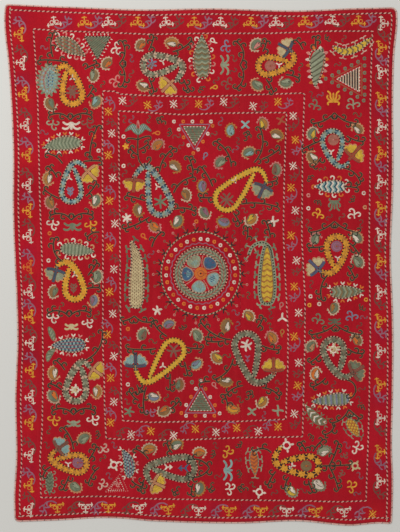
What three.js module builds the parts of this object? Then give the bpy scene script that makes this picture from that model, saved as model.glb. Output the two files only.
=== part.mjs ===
// A suzani: a flat cover of red wool cloth, embroidered all over in silk, with a braid sewn
// round its rim. It lies flat, face up. Two lengths of cloth meet at one lengthwise seam.
//
// Units are millimetres. +X runs across the width, +Y up the length, +Z up from the floor.
// The origin is on the floor, under the middle of the box that the whole outline fills.

import * as THREE from "three";

// ---- Driving dimensions ----

const WIDTH = 1810; // the outline's box, across
const LENGTH = 2400; // the outline's box, from lower edge to upper edge
const CLOTH_THICKNESS = 2.5; // fulled wool with the silk that stands on it
const BRAID_THICKNESS = 3; // the edging is a little thicker than the cloth
const BRAID_WIDTH = 7;
const SEWING_GAP = 0.3; // between pieces that are sewn edge to edge
const OUTLINE_STEP = 40; // about how far apart the points along an edge lie
const CORNER_STEPS = 6; // points round each corner

// The seam between the two lengths of cloth leans a little. Its ends are given by their X.
const SEAM_UPPER_X = 176;
const SEAM_LOWER_X = 188;

// The cloth was cut and pulled by hand, so its edges bow. Each row gives how far an edge lies
// inside the outline's box (inset) at a share of that edge's length (at). The upper and lower
// edges are read from left to right, and the sides from top to bottom, by eye to about 5 mm.
const UPPER_EDGE = [
  { at: 0.0, inset: 0 },
  { at: 0.2, inset: 15 },
  { at: 0.35, inset: 25 },
  { at: 0.53, inset: 20 },
  { at: 0.75, inset: 30 },
  { at: 0.88, inset: 20 },
  { at: 1.0, inset: 15 },
];
const RIGHT_EDGE = [
  { at: 0.0, inset: 5 },
  { at: 0.03, inset: 0 },
  { at: 0.1, inset: 15 },
  { at: 0.35, inset: 20 },
  { at: 0.48, inset: 30 },
  { at: 0.6, inset: 20 },
  { at: 0.75, inset: 20 },
  { at: 0.85, inset: 25 },
  { at: 0.92, inset: 20 },
  { at: 1.0, inset: 25 },
];
const LOWER_EDGE = [
  { at: 0.0, inset: 15 },
  { at: 0.15, inset: 25 },
  { at: 0.27, inset: 35 },
  { at: 0.38, inset: 20 },
  { at: 0.6, inset: 10 },
  { at: 0.75, inset: 20 },
  { at: 0.88, inset: 0 },
  { at: 0.95, inset: 10 },
  { at: 1.0, inset: 5 },
];
const LEFT_EDGE = [
  { at: 0.0, inset: 5 },
  { at: 0.03, inset: 0 },
  { at: 0.12, inset: 20 },
  { at: 0.27, inset: 40 },
  { at: 0.4, inset: 40 },
  { at: 0.64, inset: 60 },
  { at: 0.76, inset: 50 },
  { at: 0.87, inset: 55 },
  { at: 0.95, inset: 45 },
  { at: 1.0, inset: 50 },
];

// How far each rounded corner reaches along its two edges.
const CORNER_REACH = { upperLeft: 18, upperRight: 26, lowerRight: 16, lowerLeft: 22 };

const WOOL_RED = new THREE.MeshStandardMaterial({
  name: "wool_red",
  color: 0x911d21,
  roughness: 0.95,
  metalness: 0,
});
const BRAID_CRIMSON = new THREE.MeshStandardMaterial({
  name: "braid_crimson",
  color: 0x8a3a3c,
  roughness: 0.8,
  metalness: 0,
});

// ---- The outline ----

// A smooth function through a table's rows.
function smoothInset(rows) {
  const stations = Float32Array.from(rows, (row) => row.at);
  const insets = Float32Array.from(rows, (row) => row.inset);
  const curve = new THREE.CubicInterpolant(stations, insets, 1, new Float32Array(1));
  return (at) => curve.evaluate(at)[0];
}

const upperInset = smoothInset(UPPER_EDGE);
const rightInset = smoothInset(RIGHT_EDGE);
const lowerInset = smoothInset(LOWER_EDGE);
const leftInset = smoothInset(LEFT_EDGE);

// Where each edge runs: Y as a function of X for the upper and lower edges, X as a function
// of Y for the sides.
const upperY = (x) => LENGTH / 2 - upperInset(x / WIDTH + 0.5);
const lowerY = (x) => -LENGTH / 2 + lowerInset(x / WIDTH + 0.5);
const rightX = (y) => WIDTH / 2 - rightInset(0.5 - y / LENGTH);
const leftX = (y) => -WIDTH / 2 + leftInset(0.5 - y / LENGTH);

// The point where a side would meet the upper or lower edge if the corner were sharp.
function sharpCorner(sideX, edgeY, startY) {
  const x = sideX(startY);
  return new THREE.Vector2(x, edgeY(x));
}

const corners = {
  upperLeft: sharpCorner(leftX, upperY, LENGTH / 2),
  upperRight: sharpCorner(rightX, upperY, LENGTH / 2),
  lowerRight: sharpCorner(rightX, lowerY, -LENGTH / 2),
  lowerLeft: sharpCorner(leftX, lowerY, -LENGTH / 2),
};

// Points along one edge, from reach past its first corner to reach before its last.
function edgePoints(first, last, placeOf) {
  const from = corners[first];
  const to = corners[last];
  const span = from.distanceTo(to);
  const start = CORNER_REACH[first] / span;
  const end = 1 - CORNER_REACH[last] / span;
  const steps = Math.round(span / OUTLINE_STEP);
  return Array.from({ length: steps + 1 }, (_, i) =>
    placeOf(new THREE.Vector2().lerpVectors(from, to, start + ((end - start) * i) / steps)),
  );
}

// The four edges in order round the cloth, clockwise as seen from above.
const edges = [
  {
    name: "upper",
    corner: "upperRight",
    points: edgePoints("upperLeft", "upperRight", (p) => p.setY(upperY(p.x))),
  },
  {
    name: "right",
    corner: "lowerRight",
    points: edgePoints("upperRight", "lowerRight", (p) => p.setX(rightX(p.y))),
  },
  {
    name: "lower",
    corner: "lowerLeft",
    points: edgePoints("lowerRight", "lowerLeft", (p) => p.setY(lowerY(p.x))),
  },
  {
    name: "left",
    corner: "upperLeft",
    points: edgePoints("lowerLeft", "upperLeft", (p) => p.setX(leftX(p.y))),
  },
];

// The closed outline. Each corner is a curve that is tangent to both of its edges. An edge keeps
// the place in the list of the middle of its last corner, because the braid is cut there.
const outline = [];
edges.forEach((edge, i) => {
  const next = edges[(i + 1) % edges.length];
  const round = new THREE.QuadraticBezierCurve(
    edge.points.at(-1),
    corners[edge.corner],
    next.points[0],
  );
  const bend = round.getPoints(CORNER_STEPS).slice(1, -1);
  outline.push(...edge.points, ...bend);
  edge.cut = outline.length - Math.ceil(bend.length / 2);
});

// The outline moved inwards. Each point moves square to the line between its two neighbours.
function inward(points, distance) {
  return points.map((point, i) => {
    const before = points.at(i - 1);
    const after = points[(i + 1) % points.length];
    const along = new THREE.Vector2().subVectors(after, before).normalize();
    return new THREE.Vector2(point.x + along.y * distance, point.y - along.x * distance);
  });
}

// ---- The cloth panels ----

// The part of a closed polygon on one side of the seam, held back from it by half the gap.
function besideSeam(points, side) {
  const seam = (y) =>
    THREE.MathUtils.mapLinear(y, LENGTH / 2, -LENGTH / 2, SEAM_UPPER_X, SEAM_LOWER_X);
  const beyond = (p) => side * (p.x - seam(p.y)) - SEWING_GAP / 2;
  return points.flatMap((point, i) => {
    const after = points[(i + 1) % points.length];
    const here = beyond(point);
    const there = beyond(after);
    const kept = here >= 0 ? [point] : [];
    if (here * there < 0) {
      kept.push(new THREE.Vector2().lerpVectors(point, after, here / (here - there)));
    }
    return kept;
  });
}

// A flat piece of even thickness that lies on the floor.
function flatPiece(name, points, thickness, material) {
  const shape = new THREE.Shape(points);
  const geometry = new THREE.ExtrudeGeometry(shape, { depth: thickness, bevelEnabled: false });
  const mesh = new THREE.Mesh(geometry, material);
  mesh.name = name;
  return mesh;
}

const clothOutline = inward(outline, BRAID_WIDTH + SEWING_GAP);
const panels = [
  flatPiece("wide_panel", besideSeam(clothOutline, -1), CLOTH_THICKNESS, WOOL_RED),
  flatPiece("narrow_panel", besideSeam(clothOutline, 1), CLOTH_THICKNESS, WOOL_RED),
];

// ---- The edging braid ----

// One length of braid along one edge, mitred half way round the corner at either end. The
// outline is a loop, so the points of a length may run on past the end of its list.
function braidAlong(edge, previous) {
  const inner = inward(outline, BRAID_WIDTH);
  const from = previous.cut % outline.length;
  const count = (edge.cut - from + outline.length) % outline.length;
  const places = Array.from({ length: count + 1 }, (_, i) => (from + i) % outline.length);
  const outerRun = places.map((i) => outline[i].clone());
  const innerRun = places.map((i) => inner[i].clone());
  for (const run of [outerRun, innerRun]) {
    trimEnds(run, SEWING_GAP / 2);
  }
  const points = [...outerRun, ...innerRun.reverse()];
  return flatPiece(`braid_${edge.name}`, points, BRAID_THICKNESS, BRAID_CRIMSON);
}

// Draws the first and last point of a run in along the run.
function trimEnds(run, distance) {
  const pull = (end, neighbour) =>
    end.add(new THREE.Vector2().subVectors(neighbour, end).setLength(distance));
  pull(run[0], run[1]);
  pull(run.at(-1), run.at(-2));
}

const braids = edges.map((edge, i) => braidAlong(edge, edges.at(i - 1)));

// ---- The suzani ----

const suzani = new THREE.Group();
suzani.name = "suzani";
suzani.add(...panels, ...braids);

// The bows of the edges decide the outline's box, so the middle is measured, not assumed.
const middle = new THREE.Box2().setFromPoints(outline).getCenter(new THREE.Vector2());
suzani.position.set(-middle.x, -middle.y, 0);

export default suzani;
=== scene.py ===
# %% [markdown]
# # A suzani, stitch by stitch
# A suzani is a wedding cover from Central Asia. Two lengths of fulled red wool are sewn side by
# side, a helper draws the pattern on them, and the maker covers the drawing with chain stitch in
# silk. This lesson starts from the plain construction (two panels and four lengths of braid) and
# adds what the eye sees: the soft lie of the cloth, its felted twill, and the raised silk.
# Sizes on the cloth are in centimetres from its middle, as a maker would chalk them.

# %% Load the construction
import math
import bpy
import numpy as np
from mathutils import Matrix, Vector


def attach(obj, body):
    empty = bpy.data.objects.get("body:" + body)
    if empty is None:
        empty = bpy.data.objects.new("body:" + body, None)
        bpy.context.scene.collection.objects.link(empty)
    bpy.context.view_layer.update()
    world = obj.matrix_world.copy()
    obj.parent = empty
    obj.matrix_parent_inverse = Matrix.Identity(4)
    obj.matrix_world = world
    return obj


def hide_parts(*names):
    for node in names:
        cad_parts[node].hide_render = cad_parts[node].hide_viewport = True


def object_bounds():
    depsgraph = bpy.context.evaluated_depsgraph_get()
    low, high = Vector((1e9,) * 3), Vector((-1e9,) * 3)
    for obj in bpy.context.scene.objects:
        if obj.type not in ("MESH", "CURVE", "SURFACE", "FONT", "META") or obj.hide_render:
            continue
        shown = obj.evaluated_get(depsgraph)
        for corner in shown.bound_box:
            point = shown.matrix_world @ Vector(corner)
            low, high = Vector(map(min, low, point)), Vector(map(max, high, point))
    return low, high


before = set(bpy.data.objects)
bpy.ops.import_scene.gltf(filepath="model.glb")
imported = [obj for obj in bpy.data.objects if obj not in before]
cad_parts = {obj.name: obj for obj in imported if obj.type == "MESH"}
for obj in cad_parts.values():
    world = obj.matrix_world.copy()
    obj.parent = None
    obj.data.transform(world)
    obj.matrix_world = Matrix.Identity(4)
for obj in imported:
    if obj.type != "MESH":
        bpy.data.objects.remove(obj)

cad_low, cad_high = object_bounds()
CM = 0.01
MM = 0.001
dice = np.random.default_rng(1868)
print("the cover measures", [round(high - low, 3) for low, high in zip(cad_low, cad_high)], "m")

# %% [markdown]
# ## Lines drawn by hand
# Nearly everything here is a line carried over the cloth: an edge, a tendril, a row of stitches.
# Three helpers are enough. One runs a smooth curve through a few chalked points, one spaces
# points evenly along a line, and one walks a line whose heading turns as it goes, which is how
# a hand draws a hook.


# %% Lines
def heading_vector(degrees):
    """The unit vector that points at an angle, counted from +X towards +Y."""
    return np.stack([np.cos(np.radians(degrees)), np.sin(np.radians(degrees))], -1)


def spaced(line, count):
    """The line's own points moved so that equal shares of its length lie between them."""
    line = np.asarray(line, float)
    run = np.concatenate([[0], np.cumsum(np.linalg.norm(np.diff(line, axis=0), axis=1))])
    share = np.linspace(0, run[-1], count)
    return np.stack([np.interp(share, run, line[:, axis]) for axis in (0, 1)], -1)


def length_of(line):
    """The sum of the distances between a line's neighbouring points."""
    return float(np.linalg.norm(np.diff(line, axis=0), axis=1).sum())


def smooth(points, closed=False, steps=12):
    """A Catmull-Rom curve: between each two points it is a cubic whose slope at either end is
    half the step from the point before to the point after."""
    points = np.asarray(points, float)
    ends = points[[-1, 0]] if closed else points[[0, -1]]
    last = points[[1]] if closed else points[:0]
    full = np.concatenate([ends[:1], points, ends[1:], last])
    a, b, c, d = full[:-3], full[1:-2], full[2:-1], full[3:]
    t = np.linspace(0, 1, steps, endpoint=False)[:, None, None]
    curve = (
        2 * b
        + (c - a) * t
        + (2 * a - 5 * b + 4 * c - d) * t**2
        + (3 * b - a - 3 * c + d) * t**3
    ) / 2
    curve = curve.transpose(1, 0, 2).reshape(-1, 2)
    return np.concatenate([curve, curve[:1] if closed else points[-1:]])


def sweep(start, heading, length, turn, tighten=1.0, count=14):
    """A line whose heading turns from its first value by turn degrees, as the share of the
    length walked to the power tighten: above 1 it runs straight at first and then curls."""
    share = (np.arange(count - 1) + 0.5) / (count - 1)
    steps = heading_vector(heading + turn * share**tighten) * length / (count - 1)
    return np.concatenate([[start], np.asarray(start) + np.cumsum(steps, axis=0)])


def circle(centre, across, up=None, count=48):
    """A closed ring: the centre plus the cosine and sine of an even turn, times two radii."""
    angle = np.linspace(0, 2 * np.pi, count)
    return np.asarray(centre) + np.stack([across * np.cos(angle), (up or across) * np.sin(angle)], -1)


print("a hook's reach:", np.round(sweep((0, 0), 90, 4, 260, 1.6)[-1], 2), "cm")

# %% [markdown]
# ## How the cloth lies
# A cover of this age doesn't lie dead flat. Broad, shallow swells stay where it was folded and
# hung, the silk draws the wool into fine puckers, and the seam pulls a narrow groove. One height
# function holds all three, so the cloth and every stitch on it agree about where the surface is.

# %% The lie of the cloth
CLOTH_BODY = 1.7 * MM
SWELL = 0.75 * MM
PUCKER = 0.28 * MM
GROOVE = 0.9 * MM
GROOVE_REACH = 3.5 * MM


def node_points(name):
    """The corner points of a CAD node, as an array of X, Y and Z in metres."""
    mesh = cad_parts[name].data
    places = np.zeros(len(mesh.vertices) * 3, np.float32)
    mesh.vertices.foreach_get("co", places)
    return places.reshape(-1, 3).astype(float)


def outline_of(name):
    """The lower face's corner points in order round the node, by their angle from its middle."""
    points = node_points(name)
    flat = np.unique(np.round(points[points[:, 2] < 1e-4, :2], 6), axis=0)
    from_middle = flat - (flat.min(0) + flat.max(0)) / 2
    return flat[np.argsort(np.arctan2(from_middle[:, 1], from_middle[:, 0]))]


wide_outline = outline_of("wide_panel")
narrow_outline = outline_of("narrow_panel")
seam_ends = wide_outline[wide_outline[:, 0] > wide_outline[:, 0].max() - 0.02]
seam_lean, seam_middle = np.polyfit(seam_ends[:, 1], seam_ends[:, 0], 1)


def from_seam(x, y):
    """How far a place lies to the right of the seam, in metres."""
    return x - (seam_lean * y + seam_middle)


def swell(x, y):
    """Broad waves: a sum of sines whose crests are 20 to 80 cm apart, never below the floor."""
    wave = (
        np.sin(7.9 * x + 3.1 * y + 0.4)
        + 0.8 * np.sin(3.3 * x - 8.7 * y + 1.9)
        + 0.6 * np.sin(15.1 * x + 9.2 * y + 4.0)
        + 0.5 * np.sin(21.0 * y - 6.0 * x + 2.2)
        + 0.35 * np.sin(27.0 * x + 1.3 * np.sin(9.0 * y))
    )
    return SWELL * (1.4 + wave * 0.62)


def pucker(x, y):
    """Fine waves 3 to 6 cm apart, bent by slower ones so that they never line up."""
    bend = 2.2 * np.sin(17 * x + 11 * y) + 1.7 * np.sin(23 * y - 13 * x + 1)
    crossed = np.sin(118 * x + bend) * np.sin(131 * y - bend)
    return PUCKER * (crossed + 0.6 * np.sin(171 * (x + y) + 2 * bend))


def lie(x, y):
    """The height of the cloth's upper face: the swell, the cloth's body and the pucker, less
    the groove, which falls away from the seam as a bell curve does."""
    groove = GROOVE * np.exp(-((from_seam(x, y) / GROOVE_REACH) ** 2))
    return np.maximum(swell(x, y), 0) + CLOTH_BODY + pucker(x, y) - groove


print("the seam stands", round(seam_middle * 100, 1), "cm right of the middle")

# %% [markdown]
# ## Shader maths as plain sums
# A material is a little arithmetic on positions and colours. Wrapping a node's output in a small
# class lets that arithmetic be read as it would be on paper.


# %% Material helpers
class Shade:
    """A value that a node puts out. Sums on it add Math nodes to the same material."""

    def __init__(self, tree, socket):
        self.tree = tree
        self.socket = socket

    def node(self, kind, settings=(), inputs=(), output=0):
        """A new node of this kind: its settings first, then the values or links it takes."""
        made = self.tree.nodes.new(kind)
        for name, value in dict(settings).items():
            setattr(made, name, value)
        for name, value in dict(inputs).items():
            if isinstance(value, Shade):
                self.tree.links.new(value.socket, made.inputs[name])
            else:
                made.inputs[name].default_value = value
        return Shade(self.tree, made.outputs[output])

    def sum(self, operation, first, second=0.0):
        """The result of a Math node on one or two values."""
        return self.node("ShaderNodeMath", {"operation": operation}, {0: first, 1: second})

    def __add__(self, other):
        return self.sum("ADD", self, other)

    def __mul__(self, other):
        return self.sum("MULTIPLY", self, other)

    def wave(self):
        """The sine of this value, in radians."""
        return self.sum("SINE", self)

    def size(self):
        """This value without its sign."""
        return self.sum("ABSOLUTE", self)

    def within(self, low, high):
        """0 at low, 1 at high, a straight ramp between, held at its ends."""
        inputs = {"Value": self, "From Min": low, "From Max": high}
        return self.node("ShaderNodeMapRange", {"clamp": True}, inputs)

    def blend(self, first, second):
        """The first colour where this is 0, the second where it is 1."""
        return self.node("ShaderNodeMix", {"data_type": "RGBA"}, {0: self, 6: first, 7: second}, 2)

    def tint(self, colour):
        """This colour times another one."""
        settings = {"data_type": "RGBA", "blend_type": "MULTIPLY"}
        return self.node("ShaderNodeMix", settings, {0: 1.0, 6: self, 7: colour}, 2)

    def part(self, axis):
        """One of a vector's three numbers."""
        return self.node("ShaderNodeSeparateXYZ", (), {0: self}, "XYZ".index(axis))

    def noise(self, scale, detail=3.0, stretch=(1.0, 1.0, 1.0)):
        """Cloudy noise about so many times to the metre, drawn out by the stretch."""
        inputs = {"Location": (0, 0, 0), "Scale": tuple(stretch), "Vector": self}
        place = self.node("ShaderNodeMapping", (), inputs)
        return self.node("ShaderNodeTexNoise", (), {"Vector": place, "Scale": scale, "Detail": detail})


def linear(*shown):
    """A colour as the eye reads it, from 0 to 255, as the light values that Blender mixes."""
    share = np.asarray(shown, float) / 255
    light = np.where(share <= 0.04045, share / 12.92, ((share + 0.055) / 1.055) ** 2.4)
    return (*light.tolist(), 1.0)


def finish_of(name, roughness, sheen, specular):
    """A new material, its surface shader and the place on the object, as a Shade."""
    material = bpy.data.materials.new(name)
    material.use_nodes = True
    tree = material.node_tree
    surface = tree.nodes["Principled BSDF"]
    surface.inputs["Roughness"].default_value = roughness
    surface.inputs["Sheen Weight"].default_value = sheen
    surface.inputs["Sheen Roughness"].default_value = 0.5
    surface.inputs["Specular IOR Level"].default_value = specular
    place = tree.nodes.new("ShaderNodeTexCoord")
    return material, surface, Shade(tree, place.outputs["Object"])


def colour_with(surface, colour):
    """Leads a colour to the surface shader's base colour."""
    colour.tree.links.new(colour.socket, surface.inputs["Base Color"])


def raise_by(surface, height, distance, strength=1.0):
    """Tilts the light on the surface as if it rose by this height times the distance."""
    settings = {"Height": height, "Distance": distance, "Strength": strength}
    bump = height.node("ShaderNodeBump", (), settings)
    height.tree.links.new(bump.socket, surface.inputs["Normal"])


print("shader helpers ready")

# %% [markdown]
# ## The red wool
# The ground is a wool twill, fulled until it is nearly felt. Madder and cochineal never take
# evenly, so the red drifts from patch to patch and fades in upright streaks where the cover hung
# in light. Near some of the motifs the silk's dye has bled, which the panels hold as a point
# attribute, because only the layout knows where the motifs are.


# %% Wool
def wool_finish():
    """Red wool: two reds mixed by slow noise, darker flecks, faded streaks, bled dye, and a
    twill whose ridges run across the cloth at a slant."""
    material, surface, place = finish_of("fulled red wool", 0.95, 0.12, 0.18)
    drift = place.noise(3.1, 4.0).within(0.32, 0.68)
    red = drift.blend(linear(166, 9, 25), linear(188, 13, 34))
    fleck = place.noise(160.0, 2.0).within(0.38, 0.72)
    red = (fleck * 0.26).blend(red, linear(118, 9, 20))
    streak = place.noise(9.0, 2.0, (6.0, 0.25, 1.0)).within(0.5, 0.85)
    red = (streak * 0.22).blend(red, linear(196, 44, 50))
    bleed = place.node("ShaderNodeAttribute", {"attribute_name": "bled_dye"}, (), 2)
    red = (bleed.within(0.0, 1.0) * 0.75).blend(red, linear(128, 16, 52))
    red = ((bleed * -1.0).within(0.0, 1.0) * 0.7).blend(red, linear(196, 32, 22))
    colour_with(surface, red)
    ridge = (place.part("X") * 1750.0 + place.part("Y") * 1750.0).wave()
    felt = place.noise(900.0, 3.0)
    raise_by(surface, ridge * 0.22 + felt, 0.5 * MM, 0.6)
    return material


wool = wool_finish()
print("finish:", wool.name)

# %% [markdown]
# ## The two panels
# Each panel is a closed sheet whose edge is the construction's own. A patch stretched between its
# four sides (a Coons patch) keeps the bowed edges and spreads the middle evenly, and the lie of
# the cloth lifts it. The columns crowd together beside the seam, where the groove is narrow.

# %% Panels
WEAVE_STEP = 10 * MM
BESIDE_SEAM = np.array([0, 1.5, 3, 4.5, 6.5, 10]) * MM


def mesh_piece(name, places, quads, material):
    """A mesh from an array of points and an array of four-cornered faces, shaded smooth, riding
    on the cover and given the finish that is passed in."""
    mesh = bpy.data.meshes.new(name)
    mesh.from_pydata(places.astype(np.float32), [], quads)
    mesh.shade_smooth()
    mesh.materials.append(material)
    piece = bpy.data.objects.new(name, mesh)
    bpy.context.scene.collection.objects.link(piece)
    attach(piece, "root")
    return piece


def grid_faces(rows, columns, closed=False):
    """Corner numbers of the faces between neighbouring rows and columns of a grid. A closed grid
    also joins its last column to its first."""
    number = np.arange(rows * columns).reshape(rows, columns)
    if closed:
        number = np.concatenate([number, number[:, :1]], axis=1)
    corners = (number[:-1, :-1], number[:-1, 1:], number[1:, 1:], number[1:, :-1])
    return np.stack(corners, -1).reshape(-1, 4)


def four_sides(outline):
    """The outline cut at the points nearest its box's corners: lower, right, upper, left."""
    low, high = outline.min(0), outline.max(0)
    corners = np.array([low, (high[0], low[1]), high, (low[0], high[1])])
    cuts = np.array([np.linalg.norm(outline - corner, axis=1).argmin() for corner in corners])
    ring = np.concatenate([outline, outline])
    after = np.roll(cuts, -1)
    after = np.where(after <= cuts, after + len(outline), after)
    return [ring[first : last + 1] for first, last in zip(cuts, after)]


def panel(name, outline, seam_on_right):
    """A closed sheet. Its plan is the blend of its four sides, less the blend of its corners."""
    lower, right, upper, left = four_sides(outline)
    across = 1 - BESIDE_SEAM / np.ptp(outline[:, 0])
    even = np.linspace(0, across[-1], int(np.ptp(outline[:, 0]) / WEAVE_STEP))[:-1]
    u = np.concatenate([even, across[::-1]])
    u = u if seam_on_right else 1 - u[::-1]
    v = np.linspace(0, 1, int(np.ptp(outline[:, 1]) / WEAVE_STEP))
    fine = 600
    at = np.linspace(0, 1, fine)

    def along(side, share):
        """The points at these shares of a side's length."""
        even_side = spaced(side, fine)
        return np.stack([np.interp(share, at, even_side[:, axis]) for axis in (0, 1)], -1)

    low_edge, high_edge = along(lower, u)[None], along(upper[::-1], u)[None]
    left_edge, right_edge = along(left[::-1], v)[:, None], along(right, v)[:, None]
    U, V = u[None, :, None], v[:, None, None]
    corners = (
        (1 - U) * (1 - V) * lower[0] + U * (1 - V) * lower[-1] + U * V * upper[0] + (1 - U) * V * upper[-1]
    )
    plan = (1 - V) * low_edge + V * high_edge + (1 - U) * left_edge + U * right_edge - corners
    x, y = plan[..., 0], plan[..., 1]
    face = np.stack([x, y, lie(x, y)], -1)
    back = np.stack([x, y, np.maximum(swell(x, y), 0) + 0.05 * MM], -1)
    rows, columns = x.shape
    number = np.arange(rows * columns).reshape(rows, columns)
    rim = np.concatenate([number[0], number[1:, -1], number[-1, -2::-1], number[-2:0:-1, 0]])
    beyond = np.roll(rim, -1)
    wall = np.stack([rim + rows * columns, beyond + rows * columns, beyond, rim], -1)
    top = grid_faces(rows, columns)
    quads = np.concatenate([top, top[:, ::-1] + rows * columns, wall])
    places = np.concatenate([face.reshape(-1, 3), back.reshape(-1, 3)])
    piece = mesh_piece(name, places, quads, wool)
    spread_flat(piece, places, len(places) // 2)
    return piece


def spread_flat(piece, places, faces):
    """The places to bake to: the face fills one half of the square as it lies, and the back the
    other half, at one scale."""
    corner = np.zeros(len(piece.data.loops), np.int32)
    piece.data.loops.foreach_get("vertex_index", corner)
    plan = (places[:, :2] - places[:, :2].min(0)) / np.ptp(places[:, 1]) * 0.98 + 0.01
    plan[faces:, 0] = 1 - plan[faces:, 0] * 0.5
    plan[:faces, 0] *= 0.5
    piece.data.uv_layers.new(name="OFBake").data.foreach_set("uv", plan[corner].ravel().astype(np.float32))


wide_cloth = panel("wide_cloth", wide_outline, True)
narrow_cloth = panel("narrow_cloth", narrow_outline, False)
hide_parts("wide_panel")
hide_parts("narrow_panel")
print("panel faces:", len(wide_cloth.data.polygons), len(narrow_cloth.data.polygons))

# %% [markdown]
# ## The edging braid
# A narrow plaited braid binds the rim. Its section is half an oval with a flat underside, and the
# plait is a swelling that alternates between its two halves. It is pale rose silk, worn, with a
# dark strand that comes to the top now and then.

# %% Braid
BRAID_HALF = 3.3 * MM
BRAID_RISE = 2.6 * MM
BRAID_STEP = 1.9 * MM
PLAIT = 7.5 * MM


def cloth_rim():
    """The outer edge of both panels as one ring, the seam's points left out."""
    ring = np.concatenate([wide_outline, narrow_outline])
    ring = ring[np.abs(from_seam(ring[:, 0], ring[:, 1])) > 2 * MM]
    return ring[np.argsort(np.arctan2(ring[:, 1], ring[:, 0]))]


def moved_out(ring, distance):
    """A ring whose points have each moved square to the line between their neighbours."""
    along = np.roll(ring, -1, axis=0) - np.roll(ring, 1, axis=0)
    along /= np.linalg.norm(along, axis=1)[:, None]
    return ring + np.stack([along[:, 1], -along[:, 0]], -1) * distance


def braid_finish():
    """Worn rose silk: ribs across the braid with painted shade in their grooves and a painted
    highlight on their crests, a dark strand at uneven places, soiled patches.
    """
    material, surface, place = finish_of("edging braid", 0.75, 0.25, 0.3)
    map_place = place.node("ShaderNodeUVMap", {"uv_map": "along"})
    run, side = map_place.part("X"), map_place.part("Y")
    rib = (run * (2 * math.pi / 2.5) + side.size() * 5.0).wave()
    # painted shade and highlight: the rose is darker in each rib's groove and lighter on its crest
    rose = rib.within(-1, 1).blend(linear(208, 142, 132), linear(246, 208, 192))
    rose = (place.noise(14.0, 3.0).within(0.45, 0.7) * 0.6).blend(rose, linear(186, 104, 96))
    tick = (run * 0.19 + place.noise(30.0, 1.0) * 3.0).wave().within(0.86, 0.95)
    colour_with(surface, (tick * 0.6).blend(rose, linear(58, 34, 30)))
    raise_by(surface, rib, 0.5 * MM, 0.5)
    return material


def braid(name, line, material):
    """A half oval carried along a line: across it the angle runs over the top from one side to
    the other, and the rise is greater by turns in each half."""
    line = spaced(line, int(length_of(line) / BRAID_STEP))
    along = np.gradient(line, axis=0)
    along /= np.linalg.norm(along, axis=1)[:, None]
    out = np.stack([along[:, 1], -along[:, 0]], -1)
    angle = np.linspace(np.pi, 0, 8)
    run = np.arange(len(line))[:, None] * BRAID_STEP
    turns = 1 + 0.16 * np.sin(2 * np.pi * run / PLAIT + np.pi * (np.cos(angle) > 0))
    across = BRAID_HALF * np.cos(angle)[None] * (0.9 + 0.1 * turns)
    plan = line[:, None] + out[:, None] * across[..., None]
    base = np.maximum(swell(line[:, 0], line[:, 1]), 0)[:, None] + 0.05 * MM
    height = base + BRAID_RISE * np.sin(angle)[None] * turns
    places = np.concatenate([plan, height[..., None]], -1).reshape(-1, 3)
    quads = grid_faces(len(line), len(angle), closed=True)
    last = (len(line) - 1) * len(angle)
    half = [[i, i + 1, len(angle) - 2 - i, len(angle) - 1 - i] for i in range(3)]
    caps = np.concatenate([np.array(half)[:, ::-1], np.array(half) + last])
    piece = mesh_piece(name, places, np.concatenate([quads, caps]), material)
    corner = np.zeros(len(piece.data.loops), np.int32)
    piece.data.loops.foreach_get("vertex_index", corner)
    row, column = np.divmod(corner, len(angle))
    unrolled = np.stack([row * BRAID_STEP / MM, np.cos(angle)[column]], -1)
    piece.data.uv_layers.new(name="along").data.foreach_set("uv", unrolled.ravel().astype(np.float32))
    return piece


rim = moved_out(cloth_rim(), BRAID_HALF + 0.5 * MM)
lower_run, right_run, upper_run, left_run = four_sides(rim)
silk_braid = braid_finish()
braids = [
    braid("edging_lower", lower_run, silk_braid),
    braid("edging_right", right_run, silk_braid),
    braid("edging_upper", upper_run, silk_braid),
    braid("edging_left", left_run, silk_braid),
]
for piece, side in zip(braids, ("lower", "right", "upper", "left")):
    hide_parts(f"braid_{side}")
print("braid:", round(sum(length_of(run) for run in (lower_run, right_run, upper_run, left_run)), 2), "m")

# %% [markdown]
# ## Silk and its dyes
# The embroidery is untwisted silk in chain stitch. Each stitched line is a ribbon with a raised
# crest whose edges sink into the wool. A skein's shade is kept as a point colour, so that one
# finish serves every dye, and each line takes a slightly different depth of it, as dyed skeins do.
# All lines of one family of dyes become one piece.

# %% Dyes
DYES = {
    "cream": ("silk_cream", (250, 234, 214)),
    "bead": ("silk_cream", (222, 194, 162)),
    "blush": ("silk_cream", (226, 184, 164)),
    "ivory": ("silk_cream", (224, 204, 152)),
    "gold": ("silk_gold", (246, 174, 40)),
    "yellow": ("silk_gold", (236, 194, 54)),
    "ochre": ("silk_gold", (196, 128, 48)),
    "khaki": ("silk_gold", (156, 112, 58)),
    "orange": ("silk_orange", (236, 122, 26)),
    "peach": ("silk_orange", (224, 162, 112)),
    "rust": ("silk_orange", (182, 88, 48)),
    "sage": ("silk_green", (124, 136, 106)),
    "pale": ("silk_green", (162, 170, 138)),
    "moss": ("silk_green", (142, 116, 72)),
    "olive": ("silk_green", (106, 106, 80)),
    "teal": ("silk_blue", (46, 92, 112)),
    "blue": ("silk_blue", (60, 104, 140)),
    "sky": ("silk_blue", (148, 188, 182)),
    "slate": ("silk_blue", (136, 142, 164)),
    "mauve": ("silk_mauve", (164, 108, 128)),
    "pink": ("silk_pink", (226, 142, 130)),
    "brown": ("silk_brown", (130, 68, 52)),
    "rose": ("silk_brown", (186, 112, 92)),
    "fawn": ("silk_brown", (142, 92, 70)),
    "bark": ("silk_black", (34, 20, 13)),
    "black": ("silk_black", (22, 15, 14)),
}
LINK = 0.35
LINE = 4.6
basket = {slot: [] for slot, shade in DYES.values()}
CELL = 0.5
CHART_REACH = np.array([100, 130])
taken = np.zeros((2 * CHART_REACH / CELL).astype(int), bool)


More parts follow.
